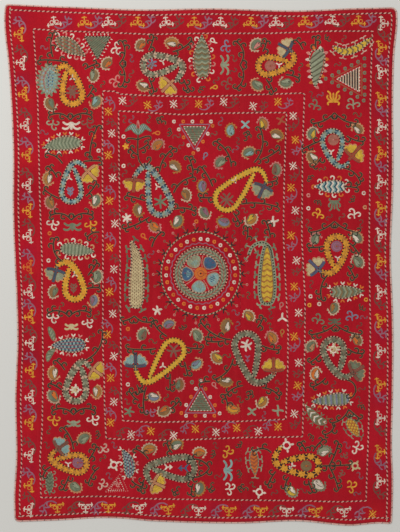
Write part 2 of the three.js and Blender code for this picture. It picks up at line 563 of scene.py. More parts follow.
def cells_of(points):
    """The cells of a half-centimetre chart, laid over the cover, that these points fall in."""
    where = ((np.asarray(points) + CHART_REACH) / CELL).astype(int)
    return where[..., 0], where[..., 1]


def stitch(dye, lines, width=LINE, lift=0.0, taper=2.5):
    """Puts lines (centimetres) in the basket: one line, a list, or an array of equal ones. The
    width, the lift over the cloth and the length of the tapered ends are in millimetres."""
    slot, shade = DYES[dye]
    if not isinstance(lines, np.ndarray):
        for line in lines:
            stitch(dye, line, width, lift, taper)
        return
    if lines.ndim == 2:
        lines = spaced(lines, max(3, int(length_of(lines) / LINK) + 1))[None]
    depth = 1 + 0.07 * dice.standard_normal((len(lines), 1))
    colour = np.array(linear(*shade)[:3]) * depth
    basket[slot].append((lines * CM, width * MM, lift * MM, taper * MM, colour))
    taken[cells_of(lines)] = True


def placed(points, at, turn=0.0, size=1.0, flip=1):
    """A motif's own points, sized, mirrored if flip is -1, turned, and carried to their place."""
    points = np.asarray(points, float) * size * (1, flip)
    along = heading_vector(turn)
    square = heading_vector(turn + 90)
    return points[..., :1] * along + points[..., 1:] * square + np.asarray(at)


def beside(line, offset):
    """A line moved square to itself, to its left where the offset is positive."""
    along = np.gradient(line, axis=0)
    along /= np.linalg.norm(along, axis=1)[:, None] + 1e-9
    return line + np.stack([-along[:, 1], along[:, 0]], -1) * offset


def dashes(line, pitch, length, slant=0.0, start=0.5, across=0.0, points=3):
    """Short strokes at every pitch along a line, each turned from it by the slant. Start is the
    first one's place as a share of the pitch. Across moves them off the line."""
    count = max(1, int(round(length_of(line) / pitch)))
    fine = spaced(beside(spaced(line, count * 6), across), count * 12 + 1)
    middle = ((np.arange(count) + start) * 12).astype(int) % (len(fine) - 1)
    step = fine[middle + 1] - fine[middle]
    heading = np.degrees(np.arctan2(step[:, 1], step[:, 0])) + slant
    reach = np.linspace(-0.5, 0.5, points) * length
    return fine[middle][:, None] + heading_vector(heading)[:, None] * reach[None, :, None]


def beads(line, first="bead", second="black", pitch=1.2, width=4.8, lift=0.5):
    """A line of dots in two dyes by turns. The second dye's dots are the fuller ones."""
    stitch(first, dashes(line, pitch, pitch * 0.44, 25, 0.25), width, lift, 1.2)
    stitch(second, dashes(line, pitch, pitch * 0.46, 25, 0.75), width * 1.15, lift + 0.3, 1.2)


def fill(outline, dye, pitch=0.42, angle=0.0, second=None, lift=0.0, width=5.0):
    """Parallel rows that cover a closed outline. Each row runs from the first to the last place
    where the outline crosses it. A second dye takes every other row."""
    turned = placed(outline, (0, 0), -angle)
    ring = np.concatenate([turned, turned[:1]])
    rows = np.arange(turned[:, 1].min() + pitch / 2, turned[:, 1].max(), pitch)
    for number, row in enumerate(rows):
        above = ring[:, 1] > row
        at = np.nonzero(above[1:] != above[:-1])[0]
        if len(at) < 2:
            continue
        a, b = ring[at], ring[at + 1]
        x = a[:, 0] + (row - a[:, 1]) * (b[:, 0] - a[:, 0]) / (b[:, 1] - a[:, 1])
        run = np.array([(x.min(), row), (x.max(), row)])
        if np.ptp(x) > 0.25:
            stitch(second if second and number % 2 else dye, placed(run, (0, 0), angle), width, lift, 1.5)


print(len(DYES), "dyes in", len(basket), "families")

# %% [markdown]
# ## Guard lines
# Four frames divide the cover: two round the narrow outer border, two round the inner one. Each
# is a line of slanted dashes, cream and black by turns. The outermost follows the rim. The others
# were drawn by eye, so each is given by a few places that the line passes.

# %% Guards
GUARD_PITCH = 2.1
outer_guard = moved_out(rim, -23 * MM) / CM
GUARDS = {
    "border": [
        (-77, 108.5), (-62, 107.5), (-46, 107), (-23, 106), (0, 106.5), (32, 106.5), (60, 107.5),
        (79, 107.5),
        (78.5, 94), (78, 76), (78, 53), (77.5, 16), (77.5, 4.5), (78, -30), (77.5, -62), (77, -80.5),
        (76, -108.5), (64, -109), (46, -108.5), (0, -108), (-28, -107.5), (-39.5, -106.5), (-51, -106.5),
        (-65, -107), (-73.5, -107), (-74, -90), (-73, -76), (-72.5, -48), (-73, -16), (-73, 2), (-74, 30),
        (-74.5, 53), (-75, 76), (-76, 94),
    ],
    "inner": [
        (-45, 80), (-39.5, 79.8), (-37, 78.5), (-23, 77.8), (-0.5, 77.3), (18, 78), (46, 79), (47.7, 78.7),
        (46.8, 53), (46.5, 11.5), (48, -16), (47.8, -39), (47.2, -62), (46.8, -79), (18, -79.5), (-5, -80.4),
        (-23, -80.8), (-43.5, -79.8), (-44.2, -67), (-44.4, -53), (-45, -39), (-45, -11.5), (-45, 7),
        (-45.2, 34.5), (-45.2, 62),
    ],
    "field": [
        (-37.8, 70.8), (-30, 70.4), (-18.5, 69.6), (-7, 69), (6.5, 69.7), (29.5, 70), (39.5, 70), (39, 57.5),
        (38.5, 43.5), (38, 16), (38.5, 2), (39.2, -11.5), (40.2, -32), (40, -48.5), (39.4, -62), (39.2, -71),
        (18, -72), (-0.5, -72), (-23.5, -72.4), (-35.8, -71.6), (-36.5, -62), (-37, -21), (-37.2, 16),
        (-37.6, 48),
    ],
}


def sharp_ring(points):
    """The straight-sided ring through the chalked places, cut into even short steps."""
    ring = np.array([*points, points[0]], float)
    return spaced(ring, int(length_of(ring) / 0.7))


def guard(ring):
    """Slanted dashes, a long cream one and a shorter black one by turns."""
    stitch("blush", dashes(ring, GUARD_PITCH, 1.35, 24, 0.25, points=5), 5.4, 0.1, 2.0)
    stitch("black", dashes(ring, GUARD_PITCH, 0.95, 24, 0.75, points=4), 5.2, 0.0, 2.0)


guard(np.concatenate([outer_guard, outer_guard[:1]]))
for points in GUARDS.values():
    guard(sharp_ring(points))
print("guards drawn:", 1 + len(GUARDS))

# %% [markdown]
# ## The narrow borders
# The outer border holds three-armed hooked crosses, white and golden by turns, with a leafy vine
# springing from under each. The inner border has the same rhythm with small crossed sprigs. The
# maker worked round the cover clockwise, so the vines always run on towards the next cross. Each
# side gives how far its crosses stand along it, because the spacing was judged by eye.

# %% Border motifs


def hooked_cross(at, outward, dye):
    """Three stems in a T: a long one outward and one to each side, each crossed by a bar near its
    tip. A round loop fills each of the two corners."""
    foot = np.asarray(at) - heading_vector(outward) * 1.7
    lines = []
    for arm, reach, half in ((0, 3.4, 1.2), (90, 2.9, 1.0), (-90, 2.9, 1.0)):
        lines.append(placed([(0.2, 0), (reach + 0.6, 0)], foot, outward + arm))
        bar = smooth([(reach - 0.3, -half), (reach, -half * 0.5), (reach, half * 0.5), (reach - 0.3, half)])
        lines.append(placed(bar, foot, outward + arm))
    stitch(dye, lines, 5.4, 0.2, 2.5)
    for flip in (1, -1):
        stitch(dye, circle(placed([(1.2, 1.15 * flip)], foot, outward)[0], 0.8, count=12), 3.2, 0.2)
    stitch("black", circle(foot, 0.2, count=5), 3.6, 0.6, 1.0)


def vine(at, ahead, dye, size=1.0, flip=1):
    """A stem that starts beside a cross on its inner side, bends outward, and ends in a head of
    three crooked leaves, with one more leaf half way along."""
    stem = smooth([(0.3, -2.3), (2.4, -3.2), (4.8, -2.7), (6.2, -1.1), (6.1, 0.9), (6.8, 2.6)])
    lines = [stem, sweep((6.1, -0.4), 160, 3.0, 60, 1.2), sweep((6.2, -1.2), 10, 2.8, 70, 1.3)]
    lines += [sweep((6.1, 0.8), 150, 2.6, -70, 1.2), sweep((4.8, -2.7), 70, 2.4, 90, 1.2)]
    lines += [sweep((6.3, 1.4), 20, 2.0, -50, 1.2)]
    stitch(dye, [placed(line, at, ahead, size, flip) for line in lines], 7.2 * size, 0.0, 4.0)


def x_sprig(at, dye, lean):
    """Two strokes that cross, and a short one in each of the four openings."""
    for angle in (45, 135):
        away = heading_vector(angle + lean)
        stitch(dye, np.array([np.asarray(at) - away * 2.3, np.asarray(at) + away * 2.3]), 5.2, 0.2, 2.0)
    for angle, reach in ((0, 1.7), (90, 2.0), (180, 1.7), (270, 2.0)):
        away = heading_vector(angle + lean)
        stitch(dye, np.array([np.asarray(at) + away * 0.9, np.asarray(at) + away * reach]), 4.6, 0.2, 1.5)


print("border motifs ready")

# %% Lay out the borders
# ahead: the way round. middle: places on the border's middle line. crosses: how far each stands
# along the side. silks: W white, G gold, R orange, S a gold sprig. vines: M mauve, B brown.
OUTER_BORDER = [
    {
        "ahead": 0,
        "middle": [(-90, 112.3), (-10, 112), (30, 111.8), (60, 112.6), (90, 112.6)],
        "crosses": [-67.5, -53.5, -42.5, -29, -16, -3, 9, 23, 34.5, 48, 60.5, 72.5],
        "silks": "WGWGWGWGWGWG",
        "vines": "MMBMBMBMBMBM",
    },
    {
        "ahead": -90,
        "middle": [(84.5, 112), (83.5, 100), (83.2, 0), (82.8, -113)],
        "crosses": [111, 100, 89, 76.5, 63.5, 51, 38, 26, 14, 1.5, -12.5, -25.5, -39.5, -55]
        + [-70.5, -86, -99.5],
        "silks": "WGWGWGWGWGWGWGWGW",
        "vines": "BMBMBMBMBMBMBMBMB",
    },
    {
        "ahead": 180,
        "middle": [(85, -115), (66, -114), (0, -113.4), (-35, -112), (-85, -112)],
        "crosses": [79, 66, 53, 39.5, 27.5, 13, -1, -15, -28, -42.5, -53, -66],
        "silks": "SWGWGGWGWGWG",
        "vines": "MBMBMMBMBMBM",
    },
    {
        "ahead": 90,
        "middle": [(-79.5, -113), (-78.7, -40), (-79.8, 0), (-80.3, 50), (-82, 80), (-84, 107)],
        "crosses": [-112.5, -101.5, -87.5, -72.5, -61, -48.5, -36, -24, -12.5, -1, 13, 25, 36.5, 50.5, 64]
        + [78.5, 93, 106],
        "silks": "WGWGWGWGWRWGWGWGWG",
        "vines": "BMBMBMBMBMBMBMBMBM",
    },
]
INNER_BORDER = [
    {
        "ahead": 0,
        "sprigs": [(-36, 75.5), (-24.5, 73.5), (-12.5, 74), (-1, 74), (10.5, 75), (24, 73), (35.5, 75)],
        "silks": "WGWGWWG",
    },
    {
        "ahead": -90,
        "sprigs": [(42.5, 68.5), (43.5, 57.5), (42.5, 45.5), (41.5, 35.5), (43.5, 25), (41.5, 13.5), (44, 2)]
        + [(43, -10), (45, -22), (43, -33), (45, -45), (44.5, -55.5), (43, -68.5)],
        "silks": "WGWGWGWGWGWGW",
    },
    {
        "ahead": 180,
        "sprigs": [(35.5, -74.5), (26.5, -76.5), (16.5, -75), (7, -77), (-2.5, -75.5), (-12.5, -78.5)]
        + [(-23, -76.5), (-32, -78)],
        "silks": "GWGWGWGW",
    },
    {
        "ahead": 90,
        "sprigs": [(-41.5, -72.5), (-40, -63), (-41.5, -52), (-40, -42), (-43, -32)]
        + [(-40.5, -22.5), (-42, -12.5), (-40, -2), (-42, 8), (-39.5, 19), (-42, 29.5)]
        + [(-40.5, 40), (-42.5, 50.5), (-41, 60.5), (-42.5, 70.5)],
        "silks": "GWGWGWGWGWGWGWG",
    },
]
SILK_OF = {"W": "cream", "G": "gold", "R": "orange", "S": "gold"}
VINE_OF = {"M": "mauve", "B": "brown"}


def border_place(side, along):
    """The point of a side's middle line at this distance along the side."""
    line = np.array(side["middle"], float)
    axis = 0 if side["ahead"] % 180 == 0 else 1
    order = np.argsort(line[:, axis])
    other = np.interp(along, line[order, axis], line[order, 1 - axis])
    return np.array([along, other] if axis == 0 else [other, along])


bleeds = []
for side in OUTER_BORDER:
    for along, silk, leaf in zip(side["crosses"], side["silks"], side["vines"]):
        at = border_place(side, along)
        lean = dice.uniform(-9, 9)
        vine(at, side["ahead"] + dice.uniform(-5, 5), VINE_OF[leaf])
        if silk == "S":
            x_sprig(at, SILK_OF[silk], lean)
        else:
            hooked_cross(at, side["ahead"] + 90 + lean, SILK_OF[silk])
        bleeds.append((at, -0.5 if silk in "GRS" else -0.1))
        bleeds.append((at + heading_vector(side["ahead"]) * 6, 0.5 if leaf == "M" else 0.1))
for side in INNER_BORDER:
    for at, silk in zip(side["sprigs"], side["silks"]):
        x_sprig(at, SILK_OF[silk], dice.uniform(-12, 12))
        leaf = "brown" if silk == "W" else "mauve"
        flip = -1 if side["ahead"] == -90 else 1
        vine(at, side["ahead"] + dice.uniform(-8, 8), leaf, 0.85, flip)
        bleeds.append((np.array(at), -0.3 if silk == "G" else 0.1))
print("border motifs:", sum(len(side["silks"]) for side in OUTER_BORDER + INNER_BORDER))

# %% [markdown]
# ## The large almond motifs
# The boteh is an almond with a bent tip, worked here as one open band: up one side, round the
# broad end, back over the narrow end and out into a curling tail. The band is herringbone in two
# tones, edged with dots of cream and black. Its path is two tangents and an arc, so a row of the
# table needs only the broad end's middle and radius, the narrow end and the tip.

# %% Almonds
BAND_HALF = 1.1
BROADER = 1.4
CHEVRON = 0.46


def almond_path(middle, radius, neck, tip):
    """The band's middle line. It starts at the narrow end on the tip's side, bulges down the
    inner side on to the round end, goes round it, and runs up the outer side with a bulge of its
    own. Over the narrow end it bends round and curls down to the tip."""
    middle, neck, tip = (np.asarray(p, float) for p in (middle, neck, tip))
    axis = neck - middle
    reach = np.linalg.norm(axis)
    ahead = np.degrees(np.arctan2(axis[1], axis[0]))
    bend = tip - middle
    side = np.sign(axis[0] * bend[1] - axis[1] * bend[0])
    touch = np.degrees(np.arccos(radius / reach)) + 8
    angles = ahead + side * np.linspace(touch, 360 - touch, 11)
    arc = middle + heading_vector(angles) * radius
    square = side * heading_vector(ahead + 90)
    forward = axis / reach
    start = neck - forward * 1.5 * BAND_HALF + square * 0.8
    inner = start * 0.42 + arc[0] * 0.58 + square * 0.45
    outer = neck * 0.5 + arc[-1] * 0.5 - square
    over = neck + forward * 0.15 - square * 0.35
    out = tip - neck
    crest = neck + out * 0.42 + forward * (1.0 + 0.12 * np.linalg.norm(out))
    hook = tip - forward * 0.5 + square * 0.15
    line = smooth([start, inner, *arc, outer, over, crest, tip + forward * 0.2 + square * 0.2, hook])
    return spaced(line, int(length_of(line) / 0.3))


def almond(middle, radius, neck, tip, tones, half, first):
    """Herringbone along the path: strokes run from the middle line to each edge and lean
    forward, changing tone every third step. The band swells at the shoulder and narrows to the
    tip. Dots follow both edges."""
    path = almond_path(middle, radius - 0.35, neck, tip)
    path = spaced(path, int(length_of(path) / CHEVRON))
    share = np.linspace(0, 1, len(path))
    reach = half * np.interp(share, [0, 0.06, 0.68, 0.8, 0.92, 1], [0.6, 0.95, 1, 1.15, 0.85, 0.5])
    along = np.gradient(path, axis=0)
    along /= np.linalg.norm(along, axis=1)[:, None]
    square = np.stack([-along[:, 1], along[:, 0]], -1) * reach[:, None]
    number = np.arange(len(path)) // 3
    stitch(tones[0], path, 5.0, 0.0)
    for side in (1, -1):
        strokes = [path - 0.35 * along, path + side * 0.5 * square, path + side * square + 0.35 * along]
        strokes = np.stack(strokes, 1)
        for turn, tone in enumerate(tones):
            stitch(tone, strokes[number % len(tones) == turn], 5.4, 0.1, 1.5)
    for side in (1, -1):
        beads(spaced(path + side * square, len(path) * 2), first, "black", 1.45, 6.0, 0.5)


# middle and radius of the round end, the narrow end, the tip, the tones of the band
ALMONDS = [
    ((-59, 78.5), 4.9, (-61.5, 90.5), (-66, 89), "gold gold gold ochre", 0.95),
    ((-22, 92), 4.9, (-9.5, 92.5), (-11.5, 85), "sage pale olive bead", 1.0),
    ((30.5, 91.5), 4.4, (41.5, 93), (41, 98.5), "gold ochre gold", 0.9),
    ((-59.5, 33.5), 4.9, (-59, 46), (-53.5, 45), "sky teal pale", 0.8),
    ((-58, -11.5), 4.7, (-60, 0), (-66, -1), "gold gold yellow", 0.95),
    ((-57.5, -58), 5.1, (-55.5, -45.5), (-51.5, -47), "sage pale olive bead", 1.0),
    ((-56.5, -91.5), 4.4, (-68, -90), (-66.5, -85.5), "gold ochre", 0.9),
    ((60.5, 57), 5.0, (62.5, 46.5), (67.5, 47), "sky teal pale", 0.8),
    ((62.5, 8.5), 4.9, (61.5, -2), (55, -2.5), "gold gold ochre", 0.95),
    ((61, -39), 5.1, (63.5, -50), (69.5, -50), "sage pale olive", 1.0),
    ((-8, -93.5), 5.5, (-23.5, -93), (-22.5, -100.5), "sage pale olive", 1.0),
    ((50, -92.5), 4.7, (35.5, -91.5), (37, -84), "gold gold bark", 0.95),
    ((-18.5, 28), 5.4, (-24, 44.5), (-30.5, 40), "sky teal pale", 0.95),
    ((12, 30.5), 5.7, (25, 43.5), (30, 38), "yellow gold yellow", 0.8),
    ((-12.5, -39.5), 5.2, (-24, -53.5), (-30, -47), "yellow gold yellow", 0.8),
    ((21, -37), 5.8, (24, -53), (33.5, -50), "sage pale olive", 1.0),
]
for middle, radius, neck, tip, tones, half in ALMONDS:
    first = "gold" if "gold" in tones else "bead"
    almond(middle, radius, neck, tip, tones.split(), half * BROADER, first)
print("almonds:", len(ALMONDS))

# %% [markdown]
# ## Small motifs
# Round the big almonds the maker scattered small ones, each a drop inside a drop with a scalloped
# edge, and filled every gap with tendrils whose hooks turn off to either side. A tendril is a
# moss-green line with a black line laid along its crest.

# %% Small motif functions


def small_almond(at, turn, flip, tones, size=1.0):
    """A scalloped rim in the first tone runs round the back from the head to the free tip. A
    crescent in the second tone lies inside it, then a comma in the third with a dark slit."""
    rim_line = [(-0.7, -3), (-2.1, -2.4), (-2.7, -0.4), (-2.1, 1.5), (-0.5, 2.8), (0.9, 2.9)]
    rim_line = smooth([*rim_line, (2, 1.7), (2.8, 0)])
    crescent = [(-0.5, -2.9), (-2, -2.2), (-2.5, -0.3), (-1.9, 1.4), (-0.4, 2.6), (1.2, 2.4)]
    crescent += [(1.6, 0.6), (1.2, -1.9)]
    comma = [(0.1, -2.6), (-1.0, -2), (-1.1, -0.7), (-0.4, 0.7), (1.0, 2.2), (1.2, 0.7)]
    comma += [(1.3, -1.1), (1.0, -2.2)]
    rim_dye = "bead" if tones[0] == "cream" else tones[0]
    back = placed(smooth(crescent, True), at, turn, size * 0.94, flip)
    fill(back, tones[1], 0.42, turn + 75, width=5.8)
    stitch("moss", back, 3.0, 0.2, 1.0)
    comma = smooth(np.array(comma) * (0.78, 0.86) + (0.1, 0), True)
    inner = placed(comma, at, turn, size, flip)
    stitch("olive", inner, 4.4, 0.4, 1.0)
    fill(inner, tones[2], 0.4, turn + 80, lift=0.6, width=5.2)
    edge = placed(rim_line, at, turn, size, flip)
    stitch(rim_dye, edge, 4.8, 0.4, 4.0)
    stitch(rim_dye, dashes(edge, 1.25, 0.7, 0, 0.5, 0.42 * flip), 5.0, 0.3, 2.0)
    stitch("bark", placed([(-0.25, -1.9), (-0.25, -1.1)], at, turn, size, flip), 4.4, 1.3, 1.5)


def tendril(at, heading, length, turn, hooks, size=1.0):
    """A bending stem that forks into two curls, with hooks that leave it by turns on either
    side: a dark line laid along the crest of a wider mossy one."""
    stem = sweep(at, heading, length, turn, 1.0, 24)
    end = heading + turn
    side = 1 if turn >= 0 else -1
    curl = sweep(stem[-1], end, 4.2 * size, 265 * side, 1.25, 16)
    lines = [np.concatenate([stem, curl[1:]])]
    if hooks:
        lines.append(sweep(stem[-2], end - 30 * side, 3.2 * size, -215 * side, 1.3, 14))
    for number in range(hooks):
        share = (number + 0.7) / (hooks + 0.4)
        way = side if number % 2 else -side
        root = stem[int(share * 23)]
        lines.append(sweep(root, heading + turn * share + way * 48, 4.3 * size, way * 225, 1.35, 16))
    stitch("moss", lines, 10.0 * size, 0.0, 3.0)
    stitch("bark", lines, 4.4 * size, 0.9, 2.0)


def trefoil(at, turn, dye, size=1.0):
    """Three crooks that leave one point, and the stem that they hang from."""
    lines = [smooth([(0, 0), (-1.9, -0.6), (-3.1, 0.1), (-2.6, 1.2), (-1.6, 1.1)])]
    lines.append(smooth([(0.1, 0.1), (1.5, -0.8), (2.9, -0.2), (2.8, 0.8), (1.9, 1.0)]))
    lines.append(smooth([(-0.2, -0.3), (-0.6, -2.0), (0.5, -3.2), (1.7, -2.7), (1.2, -1.9)]))
    lines.append(np.array([(0, -0.2), (0.1, 1.0), (0.2, 2.0)]))
    stitch(dye, [placed(line, at, turn, size) for line in lines], 6.6, 0.1, 4.0)


def palm(at, turn, dye, size=1.0):
    """Two pairs of long leaves that dip and flick up again, and a thick short stem."""
    upper = smooth([(0.1, 1.6), (1.2, 0.8), (2.4, 0.7), (4.0, 1.8)])
    lower = smooth([(0.3, 0.6), (1.4, -1.0), (2.9, -1.5), (4.3, -0.9)])
    for flip in (1, -1):
        stitch(dye, placed(upper * (flip, 1), at, turn, size), 9.6, 0.2, 5.0)
        stitch(dye, placed(lower * (flip, 1), at, turn, size), 9.6, 0.2, 5.0)
    stitch(dye, placed([(0, 1.8), (0, 0), (0, -1.9)], at, turn, size), 12.0, 0.1, 6.0)


def lily(at, turn, dye, size=1.0):
    """A bud between two long upright leaves, with shorter leaves that curl away below."""
    stitch(dye, placed([(0, -2.4), (0, 2.2)], at, turn, size), 9.0, 0.2, 6.0)
    for flip in (1, -1):
        for leaf in (
            [(0.4, -1.6), (1.3, 0), (1.5, 1.8), (2.8, 3.0)],
            [(0.4, -1.8), (1.9, -1.2), (2.9, 0), (2.4, 1.2)],
            [(0.3, -2.2), (1.6, -2.0), (2.6, -2.6), (2.2, -3.6)],
        ):
            stitch(dye, placed(smooth(leaf) * (flip, 1), at, turn, size), 8.0, 0.2, 5.0)


def ringlet(at, dye):
    """A little open ring."""
    stitch(dye, circle(at, 0.7, count=14), 6.4, 0.1)


def droplet(at, turn, dye):
    """An open loop with a tail."""
    loop = [(-1.9, -0.3), (-0.6, 0.3), (0.8, 0.95), (1.7, 0.2), (0.9, -0.7), (-0.4, -0.1), (-1.4, 0.5)]
    stitch(dye, placed(smooth(loop), at, turn), 5.6, 0.1, 3.0)


def wye(at, turn, dye, size=1.0):
    """Three strokes that meet."""
    for angle, reach in ((90, 1.5), (215, 1.5), (325, 1.5)):
        away = heading_vector(turn + angle)
        stitch(dye, np.array([np.asarray(at), np.asarray(at) + away * reach * size]), 6.6, 0.2, 2.0)


def sprig(at, turn, dye, size=1.0, pairs=3):
    """A stem with pairs of leaves, the longest in the middle."""
    stitch(dye, placed([(-2.2, 0), (2.4, 0)], at, turn, size), 6.5, 0.1)
    for number in range(pairs):
        root = (-1.4 + 2.8 * number / max(pairs - 1, 1), 0)
        reach = (2.0, 2.6, 1.8, 1.4)[number % 4]
        for flip in (1, -1):
            leaf = sweep(root, 62, reach, -34)
            stitch(dye, placed(leaf, at, turn, size, flip), 8.0, 0.1, 8.0)


def blossom(at, turn, dye, arms, reach, bend):
    """Arms that leave one point evenly and bend by turns to either side."""
    for number in range(arms):
        way = bend if number % 2 else -bend
        arm = sweep(at, turn + 360 * number / arms - way / 3, reach, way)
        stitch(dye, arm, 9.0, 0.2, 5.0)


def star(at, turn, dye, size=1.0):
    """Four pointed petals round an open middle."""
    stitch(dye, circle(at, 1.15 * size, count=14), 8.6, 0.1)
    for number in range(4):
        away = heading_vector(turn + 90 * number)
        reach = np.array([1.2, 2.5]) * size
        stitch(dye, np.asarray(at) + away * reach[:, None], 10.0, 0.2, 9.0)


def disc_flower(at, dye, centre_dye):
    """A disc of rings with a notched edge and a small bright middle."""
    radius = 2.4
    for ring in np.arange(0.6, radius, 0.42):
        stitch(dye, circle(at, ring, count=int(10 + ring * 9)), 5.0, 0.1)
    stitch(dye, dashes(circle(at, radius, count=40), 0.8, 0.55, 90), 4.6, 0.1, 1.5)
    stitch(centre_dye, circle(at, 0.28, count=8), 5.0, 0.6)


def carnation(at, turn, petal, calyx, size=1.0):
    """Two fans of arcs, each with a scalloped edge, parted by a thick three-armed calyx."""
    share = np.linspace(0, 1, 19)
    lobes = 0.86 + 0.14 * np.abs(np.sin(3 * np.pi * share))[:, None]
    for low, high in ((12, 84), (-84, -12)):
        away = heading_vector(turn + low + (high - low) * share) * size
        for radius in np.arange(1.5, 4.4, 0.42):
            stitch(petal, np.asarray(at) + away * radius * lobes ** (radius / 4.4), 5.4, 0.1, 2.0)
        edge = np.asarray(at) + away * lobes * 4.5
        stitch("peach", edge, 4.4, 0.3, 2.0)
    for angle, reach, bend in ((0, 4.8, 0), (98, 3.8, -30), (-98, 3.8, 30), (180, 1.8, 0)):
        arm = sweep(at, turn + angle, reach * size, bend)
        for across in (-0.25, 0.25):
            stitch(calyx, beside(arm, across * size), 5.2, 0.5, 3.0)
        for across in (-0.55, 0.55):
            stitch("brown", beside(arm, across * size), 2.4, 0.6, 3.0)


print("small motif functions ready")

# %% Scatter the small almonds
# x, y, the way the tip points in degrees, 1 if the rim bulges to the left of that, and the tones
SMALL_ALMONDS = [
    (-69, 74, 10, -1, "cream khaki sage"),
    (-49.5, 87, 195, 1, "cream moss pale"),
    (-48.5, 75, 175, 1, "peach sage sky"),
    (-43, 92.5, -60, -1, "cream khaki orange"),
    (-27.5, 101, -60, -1, "cream khaki orange"),
    (-13.5, 102, -110, -1, "peach ochre cream"),
    (-26.5, 82.5, 80, 1, "peach khaki cream"),
    (25.5, 101, -60, -1, "cream sage pink"),
    (26, 83, 70, 1, "peach sage pale"),
    (39, 84, 110, 1, "cream sage pale"),
    (51.5, 60.5, 0, 1, "cream sage yellow"),
    (72, 62.5, 200, -1, "peach khaki cream"),
    (51.5, 49.5, 60, 1, "peach khaki cream"),
    (-70, 39.5, -30, -1, "peach ochre cream"),
    (-69, 28.5, 0, -1, "pink khaki ochre"),
    (-48.5, 29.5, 190, 1, "peach sage cream"),
    (-67.5, -12.5, -30, -1, "cream khaki sage"),
    (-48, -5.5, 190, 1, "cream sage pale"),
    (-49.5, -16.5, 190, 1, "peach slate mauve"),
    (53, 12, 0, 1, "pink sage pale"),
    (71.5, 12.5, 200, -1, "peach sage cream"),
    (72, 1.5, 190, -1, "cream sage pale"),
    (-67.5, -50, -10, -1, "peach ochre cream"),
    (-67.5, -60.5, 10, -1, "cream sage orange"),
    (-48, -58.5, 200, 1, "peach ochre cream"),
    (51, -37.5, -10, 1, "cream sage peach"),
    (71.5, -34.5, 200, -1, "cream khaki orange"),
    (53, -50, 0, 1, "cream orange cream"),
    (-53.5, -80, -30, 1, "peach sage pale"),
    (-57.5, -102, 40, -1, "peach sage pale"),
    (-23.5, -85, -60, 1, "cream ochre orange"),
    (-11, -83, -50, 1, "ochre sage cream"),
    (-0.5, -86.5, -60, 1, "cream orange ochre"),
    (-1, -103, 190, 1, "ochre sage cream"),
    (42, -104, 30, -1, "pale yellow cream"),
    (54.5, -101, 40, -1, "sage cream cream"),
    (57, -86, -50, 1, "sage pale cream"),
    (-19.5, 55, -30, 1, "pink ochre orange"),
    (-12, 45, -110, 1, "ochre khaki cream"),
    (-7, 32, 215, 1, "cream khaki ochre"),
    (-28.5, 25, -10, -1, "ochre khaki cream"),
    (-11, 20, 175, 1, "ochre sage cream"),
    (-21, 17.5, 30, -1, "pink ochre orange"),
    (14, 62, 10, 1, "ochre sky sky"),
    (9, 47, -60, -1, "pink sage pale"),
    (28.5, 65, 190, -1, "pink ochre yellow"),
    (35, 59.5, -100, 1, "ochre khaki cream"),
    (22, 51.5, -80, -1, "peach sage sky"),
    (34.5, 44, 170, -1, "pink sage fawn"),
    (1, 36, -20, -1, "ochre slate mauve"),
    (2, 24, 10, -1, "cream sage mauve"),
    (10.5, 20, 100, 1, "ochre slate mauve"),
    (23, 21, 150, 1, "cream ochre yellow"),
    (-14.5, -27.5, -50, 1, "peach slate mauve"),
    (-26.5, -32, 0, 1, "cream sage fawn"),
    (-2, -32.5, 190, -1, "cream sage pale"),
    (-2, -45.5, 100, -1, "peach sky slate"),
    (-10, -55, 150, -1, "pink khaki sage"),
    (-21.5, -60.5, 60, -1, "peach slate cream"),
    (-17, -67, 140, 1, "cream khaki orange"),
    (12, -28, 0, 1, "ochre khaki cream"),
    (22, -23.5, 200, -1, "cream ochre yellow"),
    (32.5, -33.5, 190, -1, "pink ochre orange"),
    (7.5, -42.5, 60, 1, "cream ochre yellow"),
    (11.5, -53.5, 100, 1, "ochre khaki cream"),
    (28, -63, 160, 1, "cream ochre yellow"),
    (15, -66, 50, -1, "ochre gold orange"),
]
for x, y, turn, flip, tones in SMALL_ALMONDS:
    small_almond((x, y), turn + dice.uniform(-8, 8), flip, tones.split(), dice.uniform(0.92, 1.05))
print("small almonds:", len(SMALL_ALMONDS))

